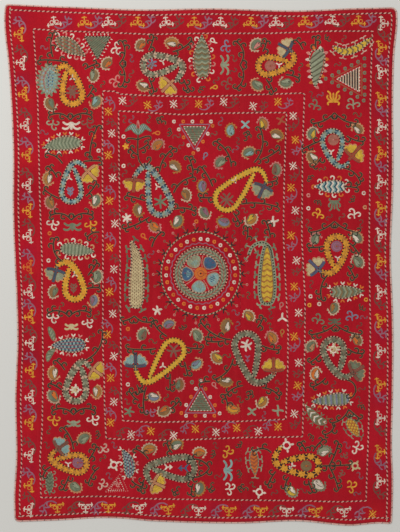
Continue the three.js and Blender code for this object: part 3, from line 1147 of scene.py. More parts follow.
# %% Grow the tendrils
# x, y, heading in degrees, length, how far it bends in degrees, hooks
TENDRILS = [
    (-61, 93, 165, 13, 20, 2),
    (-68, 95.5, 110, 11, -40, 3),
    (-52.5, 77, 45, 5, 20, 1),
    (-53.5, 90, 30, 6, -10, 2),
    (-63.5, 46.5, 120, 8.5, 50, 1),
    (-66, 40, 115, 6, 20, 2),
    (-65, 30.5, 160, 7.5, -20, 1),
    (-54, 47.5, 10, 7.5, -15, 1),
    (-51, 48.5, 92, 15.5, -30, 3),
    (-53, 31.5, 40, 7.5, 20, 2),
    (-63.5, 1.5, 150, 12, -80, 3),
    (-46.5, 15, 170, 6, 60, 1),
    (-52, -5, 50, 7, 10, 2),
    (-52.5, -11, 20, 5.5, -30, 1),
    (-53.5, -44, 20, 16.5, 75, 3),
    (-62.5, -48.5, 120, 5.5, 20, 1),
    (-64, -57.5, 140, 5.5, 20, 1),
    (-58.5, -85, 95, 11, 40, 2),
    (-51.5, -89.5, 50, 6.5, 20, 2),
    (-46.5, -93, 215, 9, 40, 2),
    (-60.5, -97, 250, 6.5, -10, 2),
    (-69, -93, 200, 5.5, 60, 1),
    (-24, 98.5, 60, 6.5, 20, 2),
    (-13, 98, 10, 10, 40, 3),
    (-24, 86, -60, 6.5, -20, 2),
    (-8, 85.5, -70, 6, 20, 3),
    (28.5, 98, 60, 5, 20, 2),
    (30, 85.5, -50, 6.5, -20, 2),
    (39, 87.5, 0, 6, -30, 1),
    (53, 99.5, 100, 5, -20, 2),
    (47, 99, 110, 5, 30, 1),
    (55, 57, 200, 8.5, 10, 2),
    (67, 59.5, -40, 8, 40, 2),
    (55.5, 49.5, -120, 5.5, -20, 2),
    (66, 44.5, -10, 10, -60, 3),
    (66, 36, 0, 5.5, -10, 1),
    (56.5, 8.5, 190, 6.5, -10, 2),
    (68.5, 10, -40, 6, -20, 2),
    (67.5, -0.5, -50, 6, -20, 2),
    (58.5, -4.5, 225, 12, 60, 3),
    (55, -41, 230, 5.5, -20, 1),
    (67.5, -38.5, -40, 7, 40, 2),
    (57.5, -52, 230, 7, -30, 2),
    (67, -53, 0, 12, -160, 0),
    (68, -66.5, -40, 6, 0, 1),
    (68, -66.5, -110, 10, -60, 2),
    (61.5, -73, -90, 7, -80, 1),
    (48.5, -86, 110, 4.5, 20, 2),
    (51.5, -86, 60, 7, -20, 2),
    (49.5, -99, -80, 5.5, 20, 2),
    (32.5, -86.5, 130, 9, 90, 1),
    (34.5, -95, 230, 7, 20, 2),
    (40.5, -97.5, 240, 5.5, 20, 2),
    (-24, -89.5, 120, 7.5, 40, 1),
    (-13, -86.5, 140, 5, -40, 2),
    (-32, -99, -50, 5, 30, 1),
    (-26, -98.5, -110, 5.5, 10, 2),
    (-3.5, -100.5, -110, 5, 20, 2),
    (-29, 57.5, 160, 4, 20, 0),
    (-29, 57.5, 30, 5, -20, 0),
    (-28.5, 53, 20, 4.5, 20, 1),
    (-29, 50.5, 150, 4, -20, 1),
    (-26, 45, 35, 4, 20, 0),
    (-19, 42.5, 85, 13, -50, 4),
    (-3.5, 42, 95, 7.5, 20, 3),
    (-12.5, 33, 70, 12, -60, 2),
    (-25.5, 29.5, 160, 8.5, 10, 2),
    (-12.5, 25.5, 20, 10, -50, 3),
    (-23.5, 22, 215, 12.5, -20, 4),
    (-22.5, 8, 80, 8, -40, 1),
    (-30.5, -23.5, -140, 5.5, -30, 1),
    (-30.5, -23.5, -50, 8.5, 60, 2),
    (-15.5, -33, 150, 8.5, -30, 2),
    (-20.5, -38.5, 190, 13, -20, 3),
    (-6.5, -38, -10, 6.5, 10, 2),
    (-7.5, -44.5, -80, 6, 10, 2),
    (-14, -50, -95, 7, 10, 2),
    (-25, -56, -110, 12, 30, 3),
    (-28.5, -62.5, 150, 6, -30, 2),
    (-14.5, -66.5, 30, 5.5, 20, 2),
    (-29.5, -55, -60, 3.5, -20, 1),
    (14, -34.5, 175, 16.5, -50, 4),
    (10.5, -35, 190, 7.5, -20, 2),
    (26, -29, 50, 5, 20, 2),
    (15, -43, -100, 13, -60, 3),
    (28, -37, -30, 8, 30, 2),
    (4.5, -53.5, 180, 4.5, 20, 1),
    (19.5, -55.5, 185, 7.5, 40, 2),
    (12.5, -65.5, 95, 5.5, 20, 2),
    (28, -56.5, 0, 9, -50, 3),
    (21, 11.5, 70, 5.5, 30, 2),
    (32, 12.5, 95, 7.5, 20, 3),
    (14, 45, 90, 14, 60, 4),
    (24.5, 47, 45, 17, 70, 4),
    (28, 48.5, 20, 9, 20, 2),
    (30.5, 38, 0, 4, 20, 1),
    (18.5, 28, 10, 17, -30, 4),
    (5.5, 36, 110, 10, 20, 2),
    (5.5, 31, 185, 5.5, -10, 2),
    (15, 24, -50, 5.5, -20, 2),
    (53.5, -92.5, 0, 15, 4, 2),
]
# Mirrored pairs: x and y of the fork, the way it opens, each arm's angle, length, bend, hooks
FORKS = [
    (-60, 66.5, 90, 34, 10.5, 84, 3),
    (-59.5, 20.5, 90, 34, 10.5, 84, 3),
    (-60.5, -24, 90, 36, 10.5, 84, 3),
    (-58.5, -69, 90, 36, 10.5, 84, 3),
    (61.5, 70, -90, 40, 11, 45, 3),
    (61.5, 20, -90, 45, 12, 40, 3),
    (62, -27.5, -90, 50, 12, 35, 3),
    (-37.5, 92.5, 0, 42, 11, 80, 3),
    (18, 92, 0, 50, 12, 95, 3),
    (4, -93.5, 180, 60, 11, -75, 3),
    (59, -92.5, 0, 60, 11, 15, 3),
]
for x, y, heading, length, bend, hooks in TENDRILS:
    tendril((x, y), heading, length, bend, hooks)
for x, y, opens, angle, length, bend, hooks in FORKS:
    for side in (1, -1):
        tendril((x, y), opens + side * angle, length, side * bend, hooks)
print("tendrils:", len(TENDRILS) + 2 * len(FORKS))

# %% [markdown]
# ## Leaf bodies
# Cypresses and fish-like leaves share one build: a body whose half width follows a sine along a
# bending axis, rows of stitches across it in a named pattern, a dotted edge, and hooks or forks
# standing all round it.

# %% Leaf bodies


def outward_places(line, pitch):
    """Places along a closed line that runs clockwise, with the heading that points outward."""
    marks = dashes(line, pitch, 0.2)
    step = marks[:, -1] - marks[:, 0]
    return marks[:, 1], np.degrees(np.arctan2(step[:, 1], step[:, 0])) + 90


def hooks_round(line, pitch, kind, dyes, width=5.0, size=1.0):
    """Hooks, loops, forks or anchors that stand square to a closed line, in the dyes by turns."""
    prongs = [sweep((1.5, 0), 60, 1.9, 50), sweep((1.5, 0), -60, 1.9, -50)]
    kinds = {
        "hook": [smooth([(0.3, -0.2), (1.4, -0.4), (2.0, 0.3), (1.7, 1.1), (1.0, 1.2)], steps=4)],
        "loop": [np.array([(0.5, -0.6), (1.8, 0), (0.5, 0.6), (0.5, -0.6)])],
        "fork": [np.array([(0.5, 0), (1.9, 0.9)]), np.array([(0.5, 0), (1.9, -0.9)])],
        "anchor": [np.array([(0.2, 0), (1.7, 0)]), *prongs],
    }
    for number, (at, turn) in enumerate(zip(*outward_places(line, pitch))):
        for shape in kinds[kind]:
            stitch(dyes[number % len(dyes)], placed(shape, at, turn, size), width, 0.1, 2.0)


def leaf_body(axis, half, fullest, pattern, tones, rim=("bead", "black"), fullness=0.7):
    """Rows across a bending axis. The half width is a sine of the share of the way along, raised
    so that it peaks at the fullest share. Returns the edge as a closed line."""
    spine = smooth(axis)
    spine = spaced(spine, int(length_of(spine) / 0.42) + 2)
    share = np.linspace(0, 1, len(spine))
    reach = half * np.sin(np.pi * share ** (np.log(0.5) / np.log(fullest))) ** fullness
    along = np.gradient(spine, axis=0)
    along /= np.linalg.norm(along, axis=1)[:, None]
    square = np.stack([-along[:, 1], along[:, 0]], -1)
    u = np.linspace(-1, 1, 9)
    across = reach[:, None] * u * 0.96
    shift = {
        "chevron": 1.3 * (1 - np.abs(u)) * np.ones_like(across),
        "zigzag": 0.55 * np.abs((across / 1.5) % 2 - 1) * 2,
        "stripe": -0.75 * across,
        "bands": 0 * across,
        "check": 0 * across,
        "lattice": 0 * across,
    }[pattern]
    rows = spine[:, None] + square[:, None] * across[..., None] + along[:, None] * shift[..., None]
    inner = slice(1, len(spine) - 1)
    number = np.arange(len(spine))[inner]
    rows = rows[inner]
    if pattern == "check":
        for part in range(4):
            piece = rows[:, part * 2 : part * 2 + 3]
            for share_of, tone in enumerate(tones):
                stitch(tone, piece[(number // 2 + part) % len(tones) == share_of], 5.8, 0.1, 0.6)
    else:
        for share_of, tone in enumerate(tones):
            stitch(tone, rows[(number // 2) % len(tones) == share_of], 5.0, 0.1, 1.5)
    if pattern == "lattice":
        for column, share_across in enumerate(np.linspace(-0.8, 0.8, 7)):
            line = spine + square * (reach * share_across)[:, None]
            marks = dashes(line[2:-2], 1.5, 0.8, 14 if column % 2 else -14, 0.25 + 0.5 * (column % 2))
            stitch("fawn", marks, 3.8, 1.0, 1.5)
    left, right = spine + square * reach[:, None], spine - square * reach[:, None]
    edge = np.concatenate([left, right[::-1], left[:1]])
    stitch(rim[0], edge, 5.0, 0.1, 1.0)
    beads(edge, *rim, 1.5, 6.2, 0.5)
    return edge


# axis, half width, fullest share, pattern, tones, what stands round it, its pitch and dyes
LEAVES = [
    ([(-53, 96), (-60, 100.5), (-67, 104)], 3.4, 0.6, "check", "pale olive sage moss",
        "hook", 3.0, "cream pink"),
    ([(1, 85.5), (0.5, 95), (0.5, 105)], 4.0, 0.4, "zigzag", "sage moss pale",
        "hook", 3.2, "cream orange pink"),
    ([(53.5, 99), (53.5, 91), (52.5, 82)], 3.5, 0.25, "stripe", "pale pale olive",
        "loop", 2.6, "cream pink orange"),
    ([(-54.5, 56), (-63, 56), (-72, 54)], 3.2, 0.42, "chevron", "sage pale", "fork", 2.6, "cream orange"),
    ([(-64.5, 7.5), (-57, 7), (-49, 6)], 2.9, 0.36, "bands", "sage pale", "hook", 3.0, "cream peach"),
    ([(-53, -36.5), (-60, -37), (-68.5, -37)], 3.3, 0.36, "check", "teal sky", "fork", 2.8, "cream pink"),
    ([(67, 36), (60, 36), (53, 36)], 2.9, 0.4, "zigzag", "sky cream teal", "hook", 3.0, "cream orange"),
    ([(59.5, -12.5), (66, -12.5), (74.5, -12)], 2.9, 0.34, "chevron", "sage pale moss",
        "fork", 2.8, "cream orange"),
    ([(68.5, -61.5), (61, -62), (51, -63)], 2.9, 0.3, "bands", "sage slate pale",
        "fork", 2.8, "cream orange"),
    ([(-33, -98), (-33, -91), (-36, -85)], 2.5, 0.4, "check", "teal sky", "fork", 3.2, "cream pink"),
]
for axis, half, fullest, pattern, tones, kind, pitch, dyes in LEAVES:
    edge = leaf_body(axis, half, fullest, pattern, tones.split())
    hooks_round(edge, pitch, kind, dyes.split(), 6.6)

left_axis = [(-29.8, -20), (-29.4, -6), (-29.6, 3), (-32, 11)]
left_cypress = leaf_body(left_axis, 3.4, 0.28, "lattice", ["ivory"], fullness=0.5)
hooks_round(left_cypress, 4.4, "anchor", ["sage", "olive"], 9.2, 1.08)
heart_axis = [(30.5, -17.5), (30.5, -4), (30.5, 3), (30.5, 8.5)]
heart = leaf_body(heart_axis, 2.9, 0.3, "zigzag", ["yellow", "yellow", "ochre"], ("olive", "moss"), 0.55)
hood = smooth([(33, 3), (32, 7.5), (29.5, 10), (26.5, 10), (23.5, 8), (22, 4.5)])
around = spaced(beside(heart, 0.7), 160)
for line in (around, hood):
    for offset in (-0.5, 0, 0.5):
        stitch("pale", beside(line, offset), 5.8, 0.2)
    beads(line, "pale", "black", 1.3, 8.0, 0.6)
hooks_round(spaced(beside(heart, 1.2), 160), 4.4, "anchor", ["pale", "sage"], 8.6)
for x, y, turn in ((30, 11.5, 80), (25.5, 11.5, 115), (22, 8.5, 160), (21.5, 3.5, 230), (25, 7, -60)):
    stitch("pale", placed([(-0.8, 0), (1.3, 0)], (x, y), turn), 7.0, 0.1)
    stitch("sage", placed([(0.9, -1.2), (1.4, -0.5), (1.4, 0.5), (0.9, 1.2)], (x, y), turn), 7.0, 0.1)
crescent_axis = [(60.5, 100.5), (66, 98), (72.5, 100), (78, 104)]
crescent = leaf_body(crescent_axis, 1.6, 0.5, "zigzag", ["yellow", "yellow", "moss"], fullness=0.45)
hooks_round(crescent, 4.4, "anchor", ["bead", "blush"], 5.6, 0.95)
# a turtle, a corner leaf, a small fish and a thorny leaf: axis, then the body's half width,
# fullest share, pattern, tones and edge, then what stands round it, its pitch, dyes, width and size
SMALL_BODIES = [
    (
        [(24, -85), (24.5, -90), (25, -96.5)],
        (2.0, 0.42, "zigzag", "rust orange", "pale sage"),
        ("anchor", 3.6, "pale", 6.0, 1.0),
    ),
    (
        [(-69, -95), (-69.5, -99), (-69.5, -105)],
        (1.7, 0.5, "chevron", "sage olive", "pale olive"),
        ("hook", 2.8, "pale sage", 4.6, 0.85),
    ),
    (
        [(67.5, -71), (70, -74.5), (72.5, -79)],
        (2.3, 0.4, "check", "yellow ochre", "pale moss"),
        ("anchor", 3.4, "pale sage", 5.2, 1.0),
    ),
    (
        [(58, -72.5), (53.5, -71), (48.5, -65)],
        (2.0, 0.4, "chevron", "cream moss sage", "sage moss"),
        ("fork", 2.8, "sage moss", 5.0, 1.0),
    ),
]
for axis, (half, fullest, pattern, tones, rim_dyes), (kind, pitch, dyes, width, size) in SMALL_BODIES:
    edge = leaf_body(axis, half, fullest, pattern, tones.split(), rim_dyes.split())
    hooks_round(edge, pitch, kind, dyes.split(), width, size)
for axis in ([(-70, -28.5), (-68.5, -31.5), (-67.5, -35)], [(-70.5, -44.5), (-69.5, -41), (-67, -38.5)]):
    leaf_body(axis, 1.2, 0.5, "stripe", ["sage", "pale"], ("sage", "moss"))
print("leaf bodies:", len(LEAVES), "large with hooks,", len(SMALL_BODIES), "small")

# %% [markdown]
# ## Carnations, palms and little figures
# Each almond's tail ends in a carnation. Inside each almond stands a sprig or a small flower, with
# a white three-stroke mark towards the narrow end.

# %% Place the flowers
# x, y of the base, the way it opens, petals, calyx, size
CARNATIONS = [
    (-14, 83.5, 225, "yellow", "peach", 0.95),
    (40.5, 99, 150, "ivory", "teal", 0.95),
    (-52, 43, -45, "yellow", "peach", 0.95),
    (-66.5, -2.5, 255, "pale", "teal", 0.95),
    (-49.5, -48, -35, "yellow", "peach", 0.9),
    (-65.5, -84.5, 35, "sky", "fawn", 0.95),
    (69.5, 50, 50, "yellow", "rust", 1.0),
    (54, -2, 135, "ivory", "blue", 1.0),
    (70, -49.5, 30, "sage", "fawn", 1.0),
    (-21.5, -100, -25, "yellow", "peach", 0.95),
    (-30.5, 39, 265, "yellow", "rust", 0.95),
    (29, 36, 245, "pale", "teal", 1.0),
    (-30, -46.5, 90, "sky", "teal", 1.05),
    (33.5, -48.5, 90, "yellow", "rust", 1.0),
]
# x, y, turn, dye, size, pairs of leaves
SPRIGS = [
    (-59, 80, 90, "fawn", 1.0, 3),
    (-60, 33.5, 90, "slate", 0.9, 3),
    (-58.5, -11, 90, "fawn", 0.95, 3),
    (-8.5, -93.5, 0, "blue", 0.9, 2),
    (-14.5, -93, 180, "cream", 0.7, 2),
    (21.5, -43.5, 90, "mauve", 0.6, 2),
    (41.5, -93, 45, "cream", 0.65, 2),
]
# x, y, turn, dye, arms, reach, bend
BLOSSOMS = [
    (-22.5, 92.5, 30, "slate", 6, 2.6, 50),
    (-23, 92, 0, "fawn", 6, 2.0, 30),
    (-59, 79.5, 90, "fawn", 7, 3.2, 60),
    (-18.5, 29, 90, "sage", 6, 3.3, 20),
    (12, 30, 70, "fawn", 8, 3.6, 50),
    (-12.5, -39.5, 60, "fawn", 6, 3.4, 50),
    (21, -37, 80, "cream", 6, 3.0, 60),
    (-34, 21.5, 40, "cream", 6, 2.4, 30),
    (-20, -21, 20, "cream", 5, 2.4, 40),
    (33.5, 20, 100, "cream", 4, 2.6, 60),
    (37.5, -24.5, 90, "cream", 3, 2.6, 30),
    (20.5, 64.5, 45, "sky", 4, 2.6, 30),
    (37, 66.5, 60, "rust", 4, 2.6, 50),
    (23.5, -67.5, 40, "pale", 4, 2.6, 50),
    (35.5, -67, 0, "pale", 4, 2.8, 50),
    (-33, -67.5, 70, "sage", 5, 2.6, 40),
    (-34.5, 54.5, 30, "gold", 5, 1.6, 10),
    (61.5, -38.5, 90, "ivory", 5, 3.0, 20),
    (-58, -57.5, 45, "ivory", 4, 2.2, 10),
]
# x, y, turn, dye, size
PALMS = [
    (-59.5, 64, 0, "cream", 1.0),
    (-59, 17.5, 0, "sage", 1.0),
    (11, 92, 90, "pale", 1.1),
    (12.5, -94.5, 90, "sky", 1.15),
    (-59.5, -28.5, 0, "ivory", 0.75),
    (-58.5, -73, 0, "pale", 0.75),
    (61.5, -26, 0, "olive", 0.7),
]
TREFOILS = [
    (-68, 65, 0, "pale", 1.0),
    (-52, 65.5, 15, "fawn", 1.0),
    (-38.5, 99.5, -75, "cream", 1.0),
    (-39, 84.5, -105, "pink", 1.0),
    (12, 100.5, -75, "slate", 1.0),
    (12.5, 83.5, -105, "fawn", 1.0),
    (52.5, 73, 165, "sage", 1.0),
    (70, 73.5, 195, "pale", 1.1),
    (-68, 19, 0, "cream", 1.0),
    (-50.5, 18.5, 15, "gold", 1.0),
    (54, 23, 165, "gold", 0.95),
    (70.5, 23, 195, "cream", 1.05),
    (-68, -24, 0, "cream", 0.95),
    (-52, -26.5, 15, "cream", 0.9),
    (54, -25.5, 165, "sage", 1.0),
    (69.5, -24, 195, "slate", 1.0),
    (-67.5, -71, 0, "gold", 1.0),
    (-49.5, -71, 15, "cream", 1.0),
    (12, -86, 75, "gold", 1.0),
    (13, -103, 105, "cream", 1.0),
    (71.5, -84, 75, "cream", 1.05),
    (69, -102, 105, "gold", 1.0),
    (66, -87.5, 30, "fawn", 0.6),
    (64.5, -96, 70, "fawn", 0.6),
    (-45, -84.5, 50, "blush", 0.9),
    (-45.5, -101, 70, "blush", 0.9),
    (-38.5, -100.5, 0, "pink", 0.55),
    (-23, -67.5, 10, "mauve", 0.8),
]
STARS = [
    (-40, -92, 30, "cream", 1.0),
    (27, -104.5, 80, "cream", 1.0),
    (71, -92.5, 60, "ivory", 0.9),
    (39.5, -83, 100, "cream", 1.1),
    (-57.5, -57.5, 90, "cream", 0.9),
    (61, -39, 90, "cream", 1.0),
]
DISCS = [
    (32, 91.5, "rose", "rust"),
    (-56.5, -91, "mauve", "orange"),
    (61, 57.5, "rose", "pink"),
    (62.5, 8.5, "mauve", "rust"),
    (48.5, -92.5, "moss", "orange"),
]
CARNATION_SIZE = 1.26
TREFOIL_SIZE = 0.9
STAR_SIZE = 1.25
MARK_SIZE = 1.15
for x, y, turn, petal, calyx, size in CARNATIONS:
    carnation((x, y), turn, petal, calyx, size * CARNATION_SIZE)
for x, y, turn, dye, size, pairs in SPRIGS:
    sprig((x, y), turn, dye, size, pairs)
for x, y, turn, dye, arms, reach, bend in BLOSSOMS:
    blossom((x, y), turn, dye, arms, reach, bend)
for x, y, turn, dye, size in PALMS:
    palm((x, y), turn, dye, size)
lily((61, 77), 0, "gold")
lily((61.5, 27.5), 180, "sage", 0.9)
small_almond((61, -20), 180, 1, ("cream", "sage", "ochre"), 0.95)
for x, y, turn, dye, size in TREFOILS:
    trefoil((x, y), turn, dye, size * TREFOIL_SIZE)
for x, y, turn, dye, size in STARS:
    star((x, y), turn, dye, size * STAR_SIZE)
for x, y, petal, middle in DISCS:
    disc_flower((x, y), petal, middle)
WHITE_MARKS = [
    (-17.5, 93.5, 200),
    (36, 92, 60),
    (-60.5, 40, 0),
    (-58, -4.5, 10),
    (-61, -91.5, 60),
    (60, 52, 180),
    (63, 3, 180),
    (-20, 36, 30),
    (15.5, 39, 330),
    (-17.5, -46.5, 120),
    (-59, 86, 0),
]
for x, y, turn in WHITE_MARKS:
    wye((x, y), turn, "cream", MARK_SIZE)
RINGLETS = [
    (-49, 59, "orange"),
    (-47, 52.5, "cream"),
    (-35.5, 59, "cream"),
    (-35.5, 45.5, "cream"),
    (-2, 20, "orange"),
    (-69.5, 14.5, "orange"),
    (-70, 2, "cream"),
    (49.5, 32, "pink"),
    (49.5, 26, "cream"),
    (75, 33, "cream"),
    (75.5, 26.5, "peach"),
    (50.5, -14.5, "cream"),
    (54.5, -18, "cream"),
    (50, -18.5, "gold"),
    (76, -16, "gold"),
    (-33.5, -29.5, "orange"),
    (-33.5, -55, "cream"),
    (-4, -54, "sage"),
]
for x, y, dye in RINGLETS:
    ringlet((x, y), dye)
DROPLETS = [
    (6, 103, 140, "cream"),
    (6, 81.5, 10, "gold"),
    (2, 50, 60, "slate"),
    (-26, 13, 130, "orange"),
    (6.5, -55.5, 120, "pink"),
    (37, -19, 70, "pink"),
    (37.5, -31.5, 80, "ochre"),
    (-20.5, 60.5, 0, "orange"),
]
for x, y, turn, dye in DROPLETS:
    droplet((x, y), turn, dye)
FIGURES = (CARNATIONS, SPRIGS, BLOSSOMS, PALMS, TREFOILS, STARS, DISCS)
print("flowers and figures:", sum(len(table) for table in FIGURES))

# %% [markdown]
# ## The medallion
# The middle of the cover is a round flower inside a nest of rings. The maker worked outwards from it:
# petals, slanted bands, a ring of little wheels, and a rope edged with thorns.

# %% Medallion
HUB = np.array([0.0, -4.0])


def ring_of(radius, up=None, count=96):
    """A ring round the medallion's middle."""
    return circle(HUB, radius, up, count)


def wheel(at, dye, radius=0.62, width=6.6):
    """A dot of chain stitch worked round a hole."""
    stitch(dye, circle(at, radius, count=14), width, 0.3)


# the way each petal points, its dye and the dye of its heart
PETALS = [
    (119, "pale", "sky"),
    (182, "blue", "sky"),
    (-98, "sky", "pale"),
    (49, "blue", "blue"),
    (-24, "sky", "blue"),
]
petal = [(3, 0), (3.7, -1.6), (5.6, -2.9), (7.2, -2.6), (8, -1), (8, 1), (7.2, 2.6), (5.6, 2.9), (3.7, 1.6)]
petal = smooth(petal, True)
for turn, dye, second in PETALS:
    petal_at = placed(petal, HUB, turn, 1.07) + heading_vector(turn) * 0.1
    stitch("pink", placed([(3, -0.3), (5.5, 0.2), (8.4, 0)], HUB, turn + 34), 4.0, 0.1)
    stitch("rust", placed([(3, 0.3), (5.5, -0.4), (8.0, 0.6)], HUB, turn + 34), 3.0, 0.1)
    fill(petal_at, dye, 0.42, turn, dye)
    heart_of = petal.mean(0) + (petal - petal.mean(0)) * 0.5
    fill(placed(heart_of, HUB, turn), second, 0.42, turn, dye, 0.4)
    stitch("pale", np.concatenate([petal_at, petal_at[:1]]), 3.4, 0.6)
    stitch("pink", np.concatenate([petal_at, petal_at[:1]]) + heading_vector(turn) * 0.18, 2.4, 0.3)
for radius in (0.7, 1.2, 1.7, 2.2, 2.7):
    stitch("orange", ring_of(radius, count=30), 5.4, 0.4)
stitch("bark", ring_of(0.25, count=8), 6.0, 0.9)
stitch("rust", ring_of(1.45, count=24), 3.0, 0.9)
stitch("bead", ring_of(8.9), 4.2, 0.1)
beads(ring_of(8.9), "bead", "black", 1.5, 6.0)
for radius, slant in ((9.9, 40), (11.3, -40)):
    band = ring_of(radius)
    strokes = dashes(band, 0.42, 1.9, slant)
    number = np.arange(len(strokes)) // 2
    for share, tone in enumerate(("sage", "pale", "olive", "pale")):
        stitch(tone, strokes[number % 4 == share], 5.8, 0.1, 1.5)
beads(ring_of(12.4), "bead", "black", 1.5, 6.4)
wavy = np.linspace(0, 2 * np.pi, 200)
wavy = HUB + heading_vector(np.degrees(wavy)) * (13.9 + 0.28 * np.sin(wavy * 28))[:, None]
stitch("mauve", wavy, 4.4, 0.1)
for number in range(31):
    place = HUB + heading_vector(90 + number * 360 / 31) * 15.9
    wheel(place, ("cream", "orange")[number % 2])
rope = ring_of(18.2, 19.2, 140)
stitch("moss", rope, 8.0, 0.0)
stitch("bead", dashes(rope, 1.7, 1.0, 24, 0.25), 5.4, 0.6, 1.5)
stitch("black", dashes(rope, 1.7, 0.8, 24, 0.75), 5.8, 0.8, 1.5)
thorns = 26
for number in range(thorns):
    angle = 90 + (number + 0.5) * 360 / thorns
    foot = HUB + heading_vector(angle) * (18.6, 19.6)
    for lean, reach in ((-46, 2.2), (34, 1.5)):
        stitch("black", sweep(foot, angle + lean, reach + 0.2, 20), 5.2, 0.4, 3.0)
    stitch("black", placed([(-0.2, 0), (1.0, 0)], foot, angle - 8), 5.0, 0.4, 1.5)
    stem = sweep(foot, angle - 8, 2.6, 34)
    stitch("moss", stem, 3.6, 0.1, 3.0)
    wheel(stem[-1] + heading_vector(angle) * 0.7, ("pink", "fawn")[number % 2], 0.48, 4.2)
print("medallion:", len(PETALS), "petals,", thorns, "thorns")

# %% [markdown]
# ## Triangles and other single figures
# Small triangular charms stand near the corners and above and below the medallion, with rings of
# little wheels round them.

# %% Triangles


def charm(
    corners, dye, second, dots, outline=None, wheels=(), angle=0, spikes=None, count=13, pitch=0.42, width=5
):
    """A filled triangle whose corners run clockwise, dotted, outlined and ringed. A triangle grown
    about the middle of its inner circle keeps the same distance outside every side."""
    ring = np.array([*corners, corners[0]], float)
    sides = np.linalg.norm(np.roll(ring[:-1], -1, 0) - np.roll(ring[:-1], 1, 0), axis=1)
    middle = (ring[:-1] * sides[:, None]).sum(0) / sides.sum()
    (along_x, along_y), (away_x, away_y) = ring[1] - ring[0], ring[2] - ring[0]
    inner_radius = abs(along_x * away_y - along_y * away_x) / sides.sum()

    def outside(distance, count):
        """The triangle grown by a distance, as evenly spaced points."""
        return spaced(middle + (ring - middle) * (1 + distance / inner_radius), count)

    fill(ring[:-1], dye, pitch, angle, second, width=width)
    edge = spaced(ring, 60)
    beads(edge, *dots, 1.5, 6.0)
    if outline:
        stitch(outline, outside(1.1, 60), 5.4, 0.1)
    if spikes:
        for at, turn in zip(*outward_places(edge, 1.7)):
            stitch(spikes, placed([(0.5, 0), (1.5, 0.2)], at, turn), 5.0, 0.2, 2.0)
    if wheels:
        for number, place in enumerate(outside(2.4, count + 1)[:-1]):
            wheel(place, wheels[number % len(wheels)], 0.6, 6.6)


upper_left = [(-53.5, 105), (-41.5, 105), (-47.5, 94.5)]
charm(upper_left, "olive", "sage", ("pale", "black"), angle=40, spikes="cream")
upper_right = [(62.5, 85.5), (73, 91), (73, 79.5)]
charm(upper_right, "bead", "black", ("pink", "cream"), "rust", ("sage",), 90, count=18, pitch=0.6, width=6.8)
for corners in ([(-8, 63.5), (2.4, 63.5), (-2.8, 55)], [(0, -58), (5.2, -67), (-5.4, -67)]):
    charm(corners, "sage", "olive", ("cream", "sage"), "mauve", ("cream", "orange"))
for reach, dye in ((1.0, "pink"), (0.72, "cream"), (0.44, "pink")):
    tent = np.array([(-44, -104.5), (-37, -96), (-33.5, -104), (-44, -104.5)], float)
    tent = spaced(tent.mean(0) + (tent - tent.mean(0)) * reach, 50)
    stitch(dye, dashes(tent, 1.0, 0.5, 20), 4.8, 0.2, 1.5)

# A palmette between the left upper almond and the guard, and the lily at the field's corner.
palmette_axis = [(-68, 91.5), (-70, 86), (-70, 78.5)]
palmette = leaf_body(palmette_axis, 4.3, 0.5, "check", ["pale", "sky"], ("pale", "sage"), 0.5)
heart_axis = [(-68.5, 89.5), (-69.5, 85.5), (-69.5, 81)]
leaf_body(heart_axis, 2.0, 0.5, "check", ["sky", "blue"], ("pale", "sky"), 0.5)
hooks_round(palmette, 1.9, "loop", ["pale", "sage"], 6.0, 0.8)
for flip in (1, -1):
    lobe = smooth([(0, 0), (1.9, 0.9), (3.4, 2.3), (6.0, 1.4), (4.4, 3.6), (2.4, 4.8), (0.6, 3.4)], True)
    fill(placed(lobe * (flip, 1), (-28.8, 60), 0), "sky", 0.42, 60 * flip, "sage")
    stitch("sage", placed(lobe * (flip, 1), (-28.8, 60), 0), 4.0, 0.5)
stitch("pink", [np.array([(-29.6, 62.5), (-29, 66.5)]), np.array([(-28, 62.5), (-28.8, 66.5)])], 5.0, 0.7)
stem = smooth([(-26, 44.5), (-28.5, 48.5), (-29, 54), (-28.8, 60)])
stitch("moss", stem, 9.0, 0.0)
stitch("bark", stem, 4.4, 0.9)
print("charms and palmettes ready")

# %% [markdown]
# ## Filling the gaps
# A maker of this kind of cover leaves no gap larger than a thumb. Wherever the chart of stitched
# cells is still empty, a dark sprig or a curl in a thin brown or mauve line goes in. The order is
# drawn by lot, and the larger fillers take their places first.

# %% Fillers


def free_for(at, reach):
    """Whether no stitch lies within this many centimetres of a place, to each side of it."""
    (left, low), (right, high) = (np.stack(cells_of(np.asarray(at) + move)) for move in (-reach, reach))
    return not taken[left : right + 1, low : high + 1].any()


def in_ground(x, y):
    """Whether a place lies in the wide border or in the field, clear of the guard lines."""
    wide = -73 < x < 76 and -106 < y < 105 and not (-47 < x < 49 and -82 < y < 81)
    return wide or (-36 < x < 38 and -71 < y < 69)


def curl(at, turn, dye, size=1.0):
    """Two crooks that leave one place in opposite ways."""
    lines = [sweep(at, turn, 3.0 * size, 240, 1.2, 12), sweep(at, turn + 170, 2.6 * size, 200, 1.2, 12)]
    stitch(dye, lines, 6.4, 0.0, 3.0)
    stitch("bark" if dye == "moss" else "brown", lines, 2.2, 0.7, 2.0)


